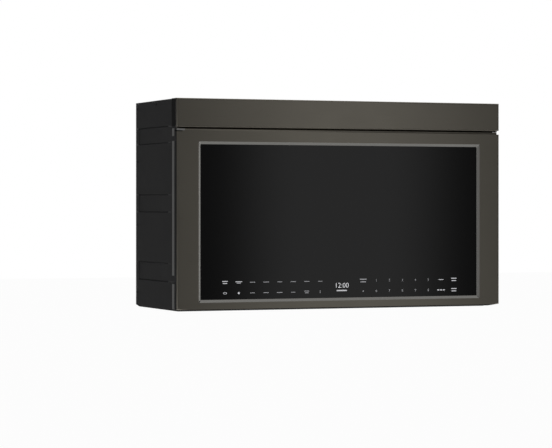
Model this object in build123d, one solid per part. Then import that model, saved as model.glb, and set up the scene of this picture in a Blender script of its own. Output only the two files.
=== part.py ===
from build123d import *
import math
import os

# Over the range microwave with a flush left-hinged door.  Millimetres, +Z up, +Y towards the wall.
# X is measured from the middle of the width, heights from the underside of the base pan, and
# "depth" is the distance behind the front plane of the door and the vent fascia.

# ---- Overall sizes -----------------------------------------------------------------------------
OVERALL_WIDTH = 762.0  # door and vent fascia
OVERALL_HEIGHT = 453.9  # base pan to top cover
OVERALL_DEPTH = 323.8  # front plane to back panel
CASE_INSET = 18.0  # the case is this much narrower than the door on each side

# ---- Sheet and clearance values ----------------------------------------------------------------
CASE_SHEET = 0.8  # side panels, top cover and other folded covers
FRAME_SHEET = 1.0  # front frame, back panel, base pan, vent deck
RUNNING_CLEARANCE = 0.05  # radial, a shaft turning in its bearing
SEAT_CLEARANCE = 0.3  # a piece that slides or hinges past its seat
PRESSED_CLEARANCE = 0.02  # radial, a pin or hub fixed in its hole
HIDDEN_SIDES = 12  # facets of round pieces that only the closed case holds

# ---- Door --------------------------------------------------------------------------------------
DOOR_BOTTOM = 2.5
FASCIA_TOP_DROP = 1.9  # fascia top edge below the top of the case
FASCIA_HEIGHT = 62.0
DOOR_TOP_GAP = 2.0  # between door and fascia
DOOR_SKIN = 1.0
DOOR_BEND = 3.5  # outer radius of the folds of door and fascia
DOOR_TAPER_LENGTH = 27.0  # the lower edge of the door rises towards both corners
DOOR_TAPER_RISE = 3.3
DOOR_RETURN = 33.4  # front plane to the rear edge of the door skin
BACK_PANEL_SHEET = 1.0
CHOKE_COVER_STAND = 5.6  # choke cover behind the door back panel
DOOR_GAP = 2.0  # door to case when shut
DOOR_SIDE_RAIL = 49.0  # door edge to the outer line of the bevel
DOOR_TOP_RAIL = 27.4
DOOR_BOTTOM_RAIL = 17.0
BEVEL_WIDTH = 5.7
BEVEL_DEPTH = 4.0
BEVEL_CORNER = 3.0
GLASS_FRONT = 5.2  # depth of the front face of the glass
GLASS_THICKNESS = 4.0
GLASS_LAP = 4.5  # glass hidden behind the bevel
CORNER_NOTCH_WIDTH = 6.5  # open bend relief at the free upper corner of the door
CORNER_NOTCH_HEIGHT = 5.0
CORNER_STRIP = 4.5  # upper edge that runs on to the hinge side, above its relief slot
RELIEF_SLOT_LENGTH = 13.0
RELIEF_SLOT_WIDTH = 2.0
FASCIA_NOTCH_HEIGHT = 1.5
FASCIA_END_RETURN = 6.0  # folded end of the fascia in front of its cap
RETURN_GROOVE = 0.5  # line along both side returns of the door
RETURN_GROOVE_DEPTH = 12.0
RETURN_GROOVE_WIDTH = 1.5
BACK_PANEL_EDGE = 0.6  # back panel inside the outline of the skin
HINGE_SIDE_RELIEF = 5.0  # the same on the hinge side, so that the corner clears the case

# ---- Hinge and latch ---------------------------------------------------------------------------
PIVOT_FROM_EDGE = 14.0
PIVOT_DEPTH = 14.0
UPPER_HINGE_DROP = 21.3  # below the upper edge of the door
LOWER_HINGE_HEIGHT = 68.2
UPPER_HINGE_NOTCH = 10.6
LOWER_HINGE_NOTCH = 17.9
HINGE_ARM_THICKNESS = 3.0
HINGE_ARM_WIDTH = 14.0
HINGE_ARM_SPREAD = 17.0  # the arm runs this far sideways on its way back to the case
HINGE_FLANGE_HEIGHT = 36.0
HINGE_FLANGE_WIDTH = 24.0
HINGE_PIN_RADIUS = 3.0
HINGE_BUSH_WALL = 1.5
HINGE_BUSH_STAND = 1.0  # bush above the arm, where the door bears on it
HINGE_TAB_THICKNESS = 2.5
LATCH_FROM_OVEN = 41.2  # centre of the latch hooks from the side of the oven
UPPER_HOOK_RISE = 58.0  # above the middle of the oven
LOWER_HOOK_DROP = 62.0
LATCH_BAR_WIDTH = 14.0
LATCH_BAR_DEPTH = 11.0
LATCH_BAR_FRONT = 20.0
LATCH_BAR_OVERRUN = 22.0  # bar above the upper and below the lower hook
LATCH_TRAVEL = 4.0
HOOK_THICKNESS = 5.0
HOOK_HEIGHT = 8.0
HOOK_NOSE = 3.5
HOOK_REACH = 20.0  # hook tip behind the front of the case
CATCH_THICKNESS = 3.0
SWITCH_LENGTH = 28.0
SWITCH_HEIGHT = 16.0
SWITCH_WIDTH = 10.0
SWITCH_PITCH = 10.5
PLUNGER_SIDE = 3.2
PLUNGER_LENGTH = 4.0
PLUNGER_STICKOUT = 2.0
SWITCH_BORE_DEPTH = 4.0

# ---- Oven --------------------------------------------------------------------------------------
OVEN_FLOOR_TOP = 106.0  # top of the ceramic floor
OVEN_TOP_GAP = 18.0  # oven to vent deck
OVEN_REAR_GAP = 15.8  # oven to back panel
LEFT_DUCT = 31.0  # air passage between the side panel and the oven
RIGHT_DUCT = 31.8  # air passage between the bay wall and the side panel
OVEN_VENT_HEIGHT = 90.0  # side slots above the oven floor
OVEN_VENT_LENGTH = 40.0
OVEN_VENT_WIDTH = 5.0
OVEN_VENT_PITCH = 18.0
CERAMIC_THICKNESS = 5.0
CERAMIC_CLEARANCE = 0.5
OVEN_SHEET = 0.8
OVEN_CORNER = 10.0
CHOKE_WIDTH = 26.0
CHOKE_FRONT = 16.0
CHOKE_SHEET = 0.8
CHOKE_SLOT_WIDTH = 6.0
CHOKE_SLOT_DEPTH = 12.0
CHOKE_SLOT_PITCH = 58.0
CHOKE_COVER_SHEET = 1.4
INNER_PANE_THICKNESS = 3.0
LAMP_WINDOW = 24.0

# ---- Microwave feed ----------------------------------------------------------------------------
ANTENNA_BOX_SIDE = 200.0
ANTENNA_BOX_HEIGHT = 26.0
ANTENNA_RADIUS = 75.0
ANTENNA_SHEET = 1.5
WAVEGUIDE_HEIGHT = 34.0
WAVEGUIDE_WIDTH = 80.0
WAVEGUIDE_OVERRUN = 45.0  # past the stirrer axis
STIRRER_SHAFT_RADIUS = 3.0
STIRRER_MOTOR_RADIUS = 24.0
STIRRER_MOTOR_HEIGHT = 22.0
MAGNETRON_OFFSET = 54.0  # its axis from the oven side of the bay
MAGNETRON_WIDTH = 90.0
MAGNETRON_DEPTH = 80.0
MAGNETRON_HEIGHT = 78.0
MAGNETRON_SHEET = 2.0
MAGNETRON_FINS = 5
MAGNETRON_PROBE_RADIUS = 9.0

# ---- Electrics bay -----------------------------------------------------------------------------
BAY_WIDTH = 108.0
COOLING_FAN_RADIUS = 43.0
COOLING_FAN_HEIGHT = 162.0
COOLING_FAN_FROM_BACK = 52.8
COOLING_SHROUD_DEPTH = 22.0
COOLING_BLADES = 5
COOLING_SHAFT_RADIUS = 2.5
TRANSFORMER_WIDTH = 90.0
TRANSFORMER_HEIGHT = 76.0
TRANSFORMER_STACK = 42.0
TRANSFORMER_DEPTH = 54.0
CAPACITOR_WIDTH = 52.0
CAPACITOR_THICKNESS = 34.0
CAPACITOR_HEIGHT = 88.0
BOARD_THICKNESS = 1.6
CONTROL_BOARD_DEPTH = 66.0
CONTROL_BOARD_LENGTH = 140.0
CONTROL_BOARD_HEIGHT = 92.0
LINE_FILTER_DEPTH = 150.0
LINE_FILTER_LENGTH = 90.0
CUTOUT_SPREAD = 160.0  # between the two thermal cut-outs, sideways
CUTOUT_STEP = 80.0  # each from the middle of the oven's depth

# ---- Vent --------------------------------------------------------------------------------------
VENT_DUCT_HEIGHT = 117.1  # underside of the vent deck to the top cover
BLOWER_WHEEL_RADIUS = 42.0
BLOWER_WHEEL_LENGTH = 66.0
BLOWER_BLADE_DEPTH = 9.0
BLOWER_BLADES = 14
BLOWER_BLADE_THICKNESS = 0.9
BLOWER_SHAFT_RADIUS = 4.0
SCROLL_GAP = 5.0  # wheel to the tightest part of the scroll
SCROLL_GROWTH = 4.0  # added to the radius each quarter turn
SCROLL_WIDTH = 76.0
SCROLL_WALL = 1.0
SCROLL_OUTLET_REACH = 66.0
SCROLL_TONGUE_HEIGHT = 10.0
BLOWER_FROM_BACK = 66.8
BLOWER_MOTOR_LENGTH = 72.0
BLOWER_MOTOR_RADIUS = 38.0
BLOWER_MOTOR_GAP = 4.0
CHARCOAL_WIDTH = 330.0
CHARCOAL_HEIGHT = 48.0
CHARCOAL_THICKNESS = 20.0
CHARCOAL_TOP_DROP = 8.1  # below the inside of the top cover
LOUVRE_SLATS = 5
LOUVRE_THICKNESS = 12.0
FILTER_LENGTH = 220.0
FILTER_WIDTH = 130.0
FILTER_THICKNESS = 9.0
FILTER_SPACING = 400.0
FILTER_FROM_BACK = 107.8
FILTER_LEDGE = 4.0
LAMP_SPACING = 300.0
LAMP_LENS_LENGTH = 64.0
LAMP_LENS_WIDTH = 34.0
LAMP_DEPTH = 84.0
LAMP_RIM = 3.0
EXHAUST_LENGTH = 254.0
EXHAUST_WIDTH = 82.6
EXHAUST_FROM_BACK = 62.8

# ---- Case details ------------------------------------------------------------------------------
BAND_LENGTH = 216.0
BAND_RUNOUT = 62.0  # the press deepens over this length behind its front end
BAND_HEIGHT = 31.0
BAND_PITCH = 141.0
BAND_FIRST_HEIGHT = 111.0
BAND_PRESS = 0.8
BAND_FRONT = 87.0
BAND_SHALLOW = 0.05  # press at the two ends of a band
REAR_RISE = 4.0  # the base rises towards the wall
REAR_RISE_LENGTH = 24.0
BEAD_LENGTH = 460.0  # stiffener of the back panel
BEAD_WIDTH = 26.0
BEAD_PRESS = 1.0
BEAD_HEIGHT = 120.0
FLANGE = 12.0
CABINET_BOLT_SPACING = 620.0
CABINET_BOLT_RADIUS = 3.6
CABINET_BOLT_DEPTH = 80.0
WALL_SLOT_SPACING = 480.0
WALL_SLOT_LENGTH = 24.0
WALL_SLOT_RADIUS = 4.5
WALL_SLOT_HEIGHT = 40.0
CORD_RADIUS = 4.5
GLAND_RADIUS = 10.0
GLAND_HEIGHT = 12.0
GLAND_FROM_BACK = 32.8
GLAND_FROM_BAY_WALL = 30.0
DISPLAY_WIDTH = 56.0
DISPLAY_HEIGHT = 46.0
TOUCH_BOARD_HEIGHT = 52.0
TOUCH_BOARD_BOTTOM = 26.0
TOUCH_BOARD_MARGIN = 40.0

# ---- Places worked out from the sizes ----------------------------------------------------------
FRONT_Y = -OVERALL_DEPTH / 2
HALF_WIDTH = OVERALL_WIDTH / 2
CASE_HALF = HALF_WIDTH - CASE_INSET
CASE_INSIDE = CASE_HALF - CASE_SHEET
CASE_TOP_INSIDE = OVERALL_HEIGHT - CASE_SHEET
FASCIA_TOP = OVERALL_HEIGHT - FASCIA_TOP_DROP
FASCIA_BOTTOM = FASCIA_TOP - FASCIA_HEIGHT
DOOR_TOP = FASCIA_BOTTOM - DOOR_TOP_GAP
DOOR_BACK = DOOR_RETURN + BACK_PANEL_SHEET + CHOKE_COVER_STAND
CASE_FRONT = DOOR_BACK + DOOR_GAP
FRAME_BACK = CASE_FRONT + FRAME_SHEET
PANEL_FRONT = OVERALL_DEPTH - FRAME_SHEET  # inner face of the back panel

VENT_DECK_BOTTOM = CASE_TOP_INSIDE - VENT_DUCT_HEIGHT
VENT_DECK_TOP = VENT_DECK_BOTTOM + FRAME_SHEET
BAY_RIGHT = CASE_INSIDE - RIGHT_DUCT - CASE_SHEET
BAY_LEFT = BAY_RIGHT - BAY_WIDTH

OVEN_LEFT = -CASE_INSIDE + LEFT_DUCT
OVEN_RIGHT = BAY_LEFT - OVEN_SHEET
OVEN_TOP = VENT_DECK_BOTTOM - OVEN_TOP_GAP
OVEN_BACK = PANEL_FRONT - OVEN_REAR_GAP
OVEN_SHEET_TOP = OVEN_FLOOR_TOP - CERAMIC_THICKNESS
OVEN_UNDERSIDE = OVEN_SHEET_TOP - OVEN_SHEET
STIRRER_X = (OVEN_LEFT + OVEN_RIGHT) / 2
STIRRER_DEPTH = (FRAME_BACK + OVEN_BACK) / 2
ANTENNA_BOX_BOTTOM = OVEN_UNDERSIDE - ANTENNA_BOX_HEIGHT
WAVEGUIDE_BOTTOM = ANTENNA_BOX_BOTTOM - WAVEGUIDE_HEIGHT
MAGNETRON_X = BAY_LEFT + MAGNETRON_OFFSET
COOLING_FAN_DEPTH = PANEL_FRONT - COOLING_FAN_FROM_BACK
CHARCOAL_HEIGHT_OFFSET = CASE_TOP_INSIDE - CHARCOAL_TOP_DROP - CHARCOAL_HEIGHT
FILTER_DEPTH = PANEL_FRONT - FILTER_FROM_BACK
EXHAUST_DEPTH = PANEL_FRONT - EXHAUST_FROM_BACK

PIVOT_X = -HALF_WIDTH + PIVOT_FROM_EDGE
UPPER_HINGE_HEIGHT = DOOR_TOP - UPPER_HINGE_DROP
HINGES = (
    (UPPER_HINGE_HEIGHT, UPPER_HINGE_NOTCH),
    (LOWER_HINGE_HEIGHT, LOWER_HINGE_NOTCH),
)
BUSH_RADIUS = HINGE_PIN_RADIUS + RUNNING_CLEARANCE + HINGE_BUSH_WALL
TAB_INNER = HINGE_ARM_THICKNESS / 2 + HINGE_BUSH_STAND + SEAT_CLEARANCE
TAB_OUTER = TAB_INNER + HINGE_TAB_THICKNESS
ARM_SLOPE = HINGE_ARM_SPREAD / (CASE_FRONT - PIVOT_DEPTH)
ARM_AT_CASE = PIVOT_X + HINGE_ARM_SPREAD
POCKET_EDGE = ARM_AT_CASE + HINGE_ARM_WIDTH / 2
HINGE_FLANGE_LEFT = ARM_AT_CASE - HINGE_FLANGE_WIDTH / 3
LATCH_X = OVEN_RIGHT + LATCH_FROM_OVEN
UPPER_HOOK_HEIGHT = (OVEN_FLOOR_TOP + OVEN_TOP) / 2 + UPPER_HOOK_RISE
LOWER_HOOK_HEIGHT = (OVEN_FLOOR_TOP + OVEN_TOP) / 2 - LOWER_HOOK_DROP
HOOK_TIP = CASE_FRONT + HOOK_REACH
CATCH_BACK = FRAME_BACK + CATCH_THICKNESS
PLUNGER_FRONT = HOOK_TIP + SEAT_CLEARANCE
SWITCH_FRONT = PLUNGER_FRONT + PLUNGER_STICKOUT
SWITCH_BACK = SWITCH_FRONT + SWITCH_HEIGHT
SWITCHES = (
    (LATCH_X, UPPER_HOOK_HEIGHT),
    (LATCH_X, LOWER_HOOK_HEIGHT),
    (LATCH_X + SWITCH_PITCH, LOWER_HOOK_HEIGHT),
)

BLOWER_DEPTH = PANEL_FRONT - BLOWER_FROM_BACK
SCROLL_RADIUS = BLOWER_WHEEL_RADIUS + SCROLL_GAP
SCROLL_TOP = SCROLL_RADIUS + 3 * SCROLL_GROWTH
BLOWER_HEIGHT = VENT_DECK_TOP + SEAT_CLEARANCE + SCROLL_WALL + SCROLL_RADIUS + SCROLL_GROWTH
SCROLL_INNER_X = BLOWER_MOTOR_LENGTH / 2 + BLOWER_MOTOR_GAP
WHEEL_INNER_X = SCROLL_INNER_X + (SCROLL_WIDTH - BLOWER_WHEEL_LENGTH) / 2

GLASS_LEFT = -HALF_WIDTH + DOOR_SIDE_RAIL
GLASS_RIGHT = HALF_WIDTH - DOOR_SIDE_RAIL
GLASS_TOP = DOOR_TOP - DOOR_TOP_RAIL
GLASS_BOTTOM = DOOR_BOTTOM + DOOR_BOTTOM_RAIL
GLASS_BACK = GLASS_FRONT + GLASS_THICKNESS
INNER_FLOOR_TOP = WAVEGUIDE_BOTTOM - STIRRER_MOTOR_HEIGHT
INNER_FLOOR_BOTTOM = INNER_FLOOR_TOP - FRAME_SHEET
RISE_START = OVERALL_DEPTH - REAR_RISE_LENGTH

TURN_TO = {"X": Rot(0, 90, 0), "Y": Rot(-90, 0, 0), "Z": Rot(0, 0, 0)}
STEPS = {}


# ---- Small helpers -----------------------------------------------------------------------------
def block(x, depth, z):
    """Rectangular solid between pairs of X, depth and height."""
    spans = (x, (FRONT_Y + depth[0], FRONT_Y + depth[1]), z)
    sizes = [high - low for low, high in spans]
    middle = [(low + high) / 2 for low, high in spans]
    return Pos(*middle) * Box(*sizes)


def rod(x, depth, z, radius, length, axis="Z"):
    """Cylinder that starts at a point and runs along +X, +Y or +Z."""
    upright = Cylinder(radius, length, align=(Align.CENTER, Align.CENTER, Align.MIN))
    return Pos(x, FRONT_Y + depth, z) * TURN_TO[axis] * upright


def prism(x, depth, z, radius, length, axis="Z", sides=HIDDEN_SIDES):
    """Many-sided rod that starts at a point and runs along +X, +Y or +Z."""
    upright = extrude(RegularPolygon(radius, sides), length)
    return Pos(x, FRONT_Y + depth, z) * TURN_TO[axis] * upright


def tube(x, depth, z, outer, inner, length, axis="Z"):
    """Round tube that starts at a point and runs along +X, +Y or +Z."""
    return rod(x, depth, z, outer, length, axis) - rod(x, depth, z, inner, length, axis)


def ring(outer, inner, depth):
    """Picture frame that faces the front, from two (left, right, bottom, top) outlines."""
    whole = block(outer[:2], depth, outer[2:])
    return whole - block(inner[:2], depth, inner[2:])


def grown(outline, margin):
    """Outline made larger by a margin on every side."""
    left, right, bottom, top = outline
    return (left - margin, right + margin, bottom - margin, top + margin)


def front_face(outline, depth, corner):
    """Flat rectangle with rounded corners that faces the front at a depth."""
    left, right, bottom, top = outline
    plane = Plane(origin=(0, FRONT_Y + depth, 0), x_dir=(1, 0, 0), z_dir=(0, -1, 0))
    centre = ((left + right) / 2, (bottom + top) / 2)
    return plane * Pos(*centre) * RectangleRounded(right - left, top - bottom, corner)


def edges_at(shape, depth):
    """Edges of a shape that lie in the plane at a depth."""
    return shape.edges().filter_by_position(Axis.Y, FRONT_Y + depth - 0.01, FRONT_Y + depth + 0.01)


def plan_plate(points, bottom, top):
    """Flat plate cut to an outline of (X, depth) points, between two heights."""
    outline = Polyline(*[(x, FRONT_Y + depth) for x, depth in points], close=True)
    return Pos(0, 0, bottom) * extrude(make_face(outline), top - bottom, dir=(0, 0, 1))


def side_plate(points, x):
    """Flat plate cut to an outline of (depth, height) points, between two X values."""
    outline = Polyline(*[(x[0], FRONT_Y + depth, z) for depth, z in points], close=True)
    return extrude(make_face(outline), x[1] - x[0], dir=(1, 0, 0))


def front_plate(points, depth):
    """Flat plate cut to an outline of (X, height) points, between two depths."""
    outline = Polyline(*[(x, FRONT_Y + depth[0], z) for x, z in points], close=True)
    return extrude(make_face(outline), depth[1] - depth[0], dir=(0, 1, 0))


def side_slot(x, depth, z, length, radius, through):
    """Slot with round ends along X that passes through a wall facing the front."""
    plane = Plane(origin=(x, FRONT_Y + depth, z), x_dir=(1, 0, 0), z_dir=(0, 1, 0))
    return extrude(plane * SlotOverall(length, 2 * radius), through)


def keep(name, *solids):
    """Note a finished sub-part under its node name."""
    STEPS[name] = Compound(children=list(solids)) if len(solids) > 1 else solids[0]


DOOR_OUTLINE = (-HALF_WIDTH, HALF_WIDTH, DOOR_BOTTOM, DOOR_TOP)
BEVEL_OUTLINE = (GLASS_LEFT, GLASS_RIGHT, GLASS_BOTTOM, GLASS_TOP)
OVEN_OUTLINE = (OVEN_LEFT, OVEN_RIGHT, OVEN_FLOOR_TOP, OVEN_TOP)
CHOKE_OUTLINE = grown(OVEN_OUTLINE, CHOKE_WIDTH)


# ---- Case --------------------------------------------------------------------------------------
def band_press(side, x, height):
    """Solid of one pressed band on the outer side of a plane at X, shallow towards the front."""
    end = BAND_FRONT + BAND_LENGTH
    stations = (
        (BAND_FRONT, BAND_SHALLOW),
        (BAND_FRONT + BAND_RUNOUT, BAND_PRESS),
        (end - BAND_PRESS, BAND_PRESS),
        (end, BAND_SHALLOW),
    )
    low, high = height - BAND_HEIGHT / 2, height + BAND_HEIGHT / 2
    sections = []
    for depth, press in stations:
        inner = x - side * press
        y = FRONT_Y + depth
        points = ((x, y, low), (inner, y, low + press), (inner, y, high - press), (x, y, high))
        sections.append(make_face(Polyline(*points, close=True)))
    return loft(sections, ruled=True)


def make_side_panel(side):
    """Outer side sheet with three pressed bands; side is -1 on the left and +1 on the right."""
    inner, outer = sorted((side * CASE_INSIDE, side * CASE_HALF))
    profile = (
        (CASE_FRONT, 0),
        (RISE_START, 0),
        (OVERALL_DEPTH, REAR_RISE),
        (OVERALL_DEPTH, CASE_TOP_INSIDE),
        (CASE_FRONT, CASE_TOP_INSIDE),
    )
    panel = side_plate(profile, (inner, outer))
    for row in range(3):
        height = BAND_FIRST_HEIGHT + row * BAND_PITCH
        panel += band_press(side, side * CASE_INSIDE, height)
        panel -= band_press(side, side * CASE_HALF, height)
    return panel


def make_top_cover():
    """Top sheet with the exhaust port, the cabinet bolt holes and the cord hole."""
    sheet = block((-CASE_HALF, CASE_HALF), (CASE_FRONT, OVERALL_DEPTH), (CASE_TOP_INSIDE, OVERALL_HEIGHT))
    half_port = EXHAUST_WIDTH / 2
    port = block(
        (-EXHAUST_LENGTH / 2, EXHAUST_LENGTH / 2),
        (EXHAUST_DEPTH - half_port, EXHAUST_DEPTH + half_port),
        (CASE_TOP_INSIDE, OVERALL_HEIGHT),
    )
    cover = sheet - port
    for side in (-1, 1):
        bolt_x = side * CABINET_BOLT_SPACING / 2
        cover -= rod(bolt_x, CABINET_BOLT_DEPTH, CASE_TOP_INSIDE, CABINET_BOLT_RADIUS, CASE_SHEET)
    return cover - rod(GLAND_X, GLAND_DEPTH, CASE_TOP_INSIDE, GLAND_RADIUS, CASE_SHEET)


def make_back_panel():
    """Back sheet with a pressed stiffener and the slots that hook on the wall plate."""
    panel = block(
        (-CASE_INSIDE, CASE_INSIDE),
        (PANEL_FRONT, OVERALL_DEPTH),
        (REAR_RISE + FRAME_SHEET, CASE_TOP_INSIDE),
    )
    place = Pos(0, FRONT_Y + OVERALL_DEPTH, BEAD_HEIGHT) * Rot(90, 0, 0)
    bead = extrude(Rectangle(BEAD_LENGTH, BEAD_WIDTH), BEAD_PRESS, taper=45)
    panel = panel + Pos(0, -FRAME_SHEET, 0) * place * bead - place * bead
    for side in (-1, 1):
        slot_x = side * WALL_SLOT_SPACING / 2
        panel -= side_slot(
            slot_x, PANEL_FRONT, WALL_SLOT_HEIGHT, WALL_SLOT_LENGTH, WALL_SLOT_RADIUS, FRAME_SHEET
        )
    return panel


def filter_opening(side):
    """X range of the hole in the base pan that shows one grease filter."""
    inner = FILTER_SPACING / 2 - FILTER_LENGTH / 2 + FILTER_LEDGE
    outer = FILTER_SPACING / 2 + FILTER_LENGTH / 2 - FILTER_LEDGE
    return sorted((side * inner, side * outer))


def make_base_pan():
    """Bottom sheet with filter openings, lamp windows, side flanges and a raised rear edge."""
    profile = (
        (CASE_FRONT, 0),
        (RISE_START, 0),
        (OVERALL_DEPTH, REAR_RISE),
        (OVERALL_DEPTH, REAR_RISE + FRAME_SHEET),
        (RISE_START, FRAME_SHEET),
        (CASE_FRONT, FRAME_SHEET),
    )
    pan = side_plate(profile, (-CASE_INSIDE, CASE_INSIDE))
    for side in (-1, 1):
        edge = sorted((side * CASE_INSIDE, side * (CASE_INSIDE - CASE_SHEET)))
        pan += block(edge, (FRAME_BACK, RISE_START), (FRAME_SHEET, FLANGE))
        half = FILTER_WIDTH / 2 + SEAT_CLEARANCE
        pan -= block(filter_opening(side), (FILTER_DEPTH - half, FILTER_DEPTH + half), (0, FRAME_SHEET))
        lamp_x = side * LAMP_SPACING / 2
        half_lens = LAMP_LENS_LENGTH / 2 - LAMP_RIM
        half_wide = LAMP_LENS_WIDTH / 2 - LAMP_RIM
        pan -= block(
            (lamp_x - half_lens, lamp_x + half_lens),
            (LAMP_DEPTH - half_wide, LAMP_DEPTH + half_wide),
            (0, FRAME_SHEET),
        )
    return pan


def latch_slots():
    """Openings that let the latch hooks into the case, as (x, height) ranges."""
    room = LATCH_TRAVEL + SEAT_CLEARANCE
    low = HOOK_HEIGHT / 2 + HOOK_NOSE + 1
    upper = ((LATCH_X - 6, LATCH_X + 8), (UPPER_HOOK_HEIGHT - low, UPPER_HOOK_HEIGHT + low + room))
    wide = LATCH_X + 8 + SWITCH_PITCH
    lower = ((LATCH_X - 6, wide), (LOWER_HOOK_HEIGHT - low, LOWER_HOOK_HEIGHT + low + room))
    return upper, lower


def make_front_frame():
    """Plate round the oven mouth that carries the hinges, the catch and the charcoal filter."""
    frame = block((-CASE_INSIDE, CASE_INSIDE), (CASE_FRONT, FRAME_BACK), (FRAME_SHEET, CASE_TOP_INSIDE))
    frame -= block(OVEN_OUTLINE[:2], (CASE_FRONT, FRAME_BACK), OVEN_OUTLINE[2:])
    half = CHARCOAL_WIDTH / 2 + SEAT_CLEARANCE
    filter_top = CHARCOAL_HEIGHT_OFFSET + CHARCOAL_HEIGHT
    frame -= block(
        (-half, half),
        (CASE_FRONT, FRAME_BACK),
        (CHARCOAL_HEIGHT_OFFSET - SEAT_CLEARANCE, filter_top + SEAT_CLEARANCE),
    )
    for x_span, z_span in latch_slots():
        frame -= block(x_span, (CASE_FRONT, FRAME_BACK), z_span)
    half_arm = HINGE_ARM_WIDTH / 2 + 3
    for height, _ in HINGES:
        gap = HINGE_ARM_THICKNESS / 2 + SEAT_CLEARANCE
        frame -= block(
            (ARM_AT_CASE - half_arm, ARM_AT_CASE + half_arm),
            (CASE_FRONT, FRAME_BACK),
            (height - gap, height + gap),
        )
    for side in (-1, 1):
        edge = sorted((side * CASE_INSIDE, side * (CASE_INSIDE - FRAME_SHEET)))
        frame += block(edge, (FRAME_BACK, FRAME_BACK + FLANGE), (FLANGE, VENT_DECK_BOTTOM - FLANGE))
    return frame


def make_inner_floor():
    """Sheet that carries the electrics, on feet that let the vent air pass to both side ducts."""
    left = OVEN_LEFT - OVEN_SHEET
    right = BAY_RIGHT + CASE_SHEET
    floor = block((left, right), (FRAME_BACK, PANEL_FRONT), (INNER_FLOOR_BOTTOM, INNER_FLOOR_TOP))
    for start in (FRAME_BACK, FILTER_DEPTH - FILTER_WIDTH / 2 - FLANGE, RISE_START - FLANGE):
        for x in ((left, left + FRAME_SHEET), (right - FRAME_SHEET, right)):
            floor += block(x, (start, start + FLANGE), (FRAME_SHEET, INNER_FLOOR_BOTTOM))
    return floor


def make_bay_wall():
    """Upright sheet between the electrics and the right hand vent duct."""
    depth = (FRAME_BACK, PANEL_FRONT)
    wall = block((BAY_RIGHT, BAY_RIGHT + CASE_SHEET), depth, (INNER_FLOOR_TOP, VENT_DECK_BOTTOM))
    flange = (INNER_FLOOR_TOP, INNER_FLOOR_TOP + CASE_SHEET)
    return wall + block((BAY_RIGHT - FLANGE, BAY_RIGHT), (FRAME_BACK, TRANSFORMER_DEPTH), flange)


def make_vent_deck():
    """Sheet above the oven that carries the blower, open at both ends for the rising air."""
    deck = block((-CASE_INSIDE, CASE_INSIDE), (FRAME_BACK, PANEL_FRONT), (VENT_DECK_BOTTOM, VENT_DECK_TOP))
    duct = (FRAME_BACK + 30, PANEL_FRONT - FLANGE)
    sheet = (VENT_DECK_BOTTOM, VENT_DECK_TOP)
    deck -= block((-CASE_INSIDE + 2, OVEN_LEFT - 2), duct, sheet)
    return deck - block((BAY_RIGHT + 3, CASE_INSIDE - 2), duct, sheet)


# ---- Oven and microwave feed -------------------------------------------------------------------
def make_oven_cavity():
    """Welded oven box, open to the front, with the round opening for the antenna."""
    outer = block(
        (OVEN_LEFT - OVEN_SHEET, OVEN_RIGHT + OVEN_SHEET),
        (FRAME_BACK, OVEN_BACK + OVEN_SHEET),
        (OVEN_UNDERSIDE, OVEN_TOP + OVEN_SHEET),
    )
    inner = block((OVEN_LEFT, OVEN_RIGHT), (FRAME_BACK, OVEN_BACK), (OVEN_SHEET_TOP, OVEN_TOP))
    outer = fillet(outer.edges().filter_by(Axis.Z).sort_by(Axis.Y)[-2:], OVEN_CORNER + OVEN_SHEET)
    inner = fillet(inner.edges().filter_by(Axis.Z).sort_by(Axis.Y)[-2:], OVEN_CORNER)
    oven = outer - inner
    half = ANTENNA_RADIUS + 12
    oven -= block(
        (STIRRER_X - half, STIRRER_X + half),
        (STIRRER_DEPTH - half, STIRRER_DEPTH + half),
        (OVEN_UNDERSIDE, OVEN_SHEET_TOP),
    )
    lamp = (LAMP_BOX_DEPTH - LAMP_WINDOW / 2, LAMP_BOX_DEPTH + LAMP_WINDOW / 2)
    lamp_z = (OVEN_LAMP_HEIGHT - 6, OVEN_LAMP_HEIGHT + 6)
    oven -= block((OVEN_RIGHT, OVEN_RIGHT + OVEN_SHEET), lamp, lamp_z)
    for column in range(4):
        start = STIRRER_DEPTH + column * OVEN_VENT_PITCH
        depth = (start, start + OVEN_VENT_WIDTH)
        bottom = OVEN_FLOOR_TOP + OVEN_VENT_HEIGHT
        slot = (bottom, bottom + OVEN_VENT_LENGTH)
        oven -= block((OVEN_RIGHT, OVEN_RIGHT + OVEN_SHEET), depth, slot)
        oven -= block((OVEN_LEFT - OVEN_SHEET, OVEN_LEFT), depth, slot)
    return oven


def make_ceramic_floor():
    """Flat glass ceramic plate that food stands on."""
    gap = CERAMIC_CLEARANCE
    plate = block(
        (OVEN_LEFT + gap, OVEN_RIGHT - gap),
        (FRAME_BACK + gap, OVEN_BACK - gap),
        (OVEN_SHEET_TOP, OVEN_FLOOR_TOP),
    )
    return fillet(plate.edges().filter_by(Axis.Z).sort_by(Axis.Y)[-2:], OVEN_CORNER)


def make_antenna_box():
    """Shallow pressed box under the oven floor in which the antenna turns."""
    half = ANTENNA_BOX_SIDE / 2
    x = (STIRRER_X - half, STIRRER_X + half)
    depth = (STIRRER_DEPTH - half, STIRRER_DEPTH + half)
    box = block(x, depth, (ANTENNA_BOX_BOTTOM, OVEN_UNDERSIDE))
    hollow = block(
        (x[0] + CASE_SHEET, x[1] - CASE_SHEET),
        (depth[0] + CASE_SHEET, depth[1] - CASE_SHEET),
        (ANTENNA_BOX_BOTTOM + CASE_SHEET, OVEN_UNDERSIDE),
    )
    hole = 3 * STIRRER_SHAFT_RADIUS
    return box - hollow - prism(STIRRER_X, STIRRER_DEPTH, ANTENNA_BOX_BOTTOM, hole, CASE_SHEET)


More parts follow.
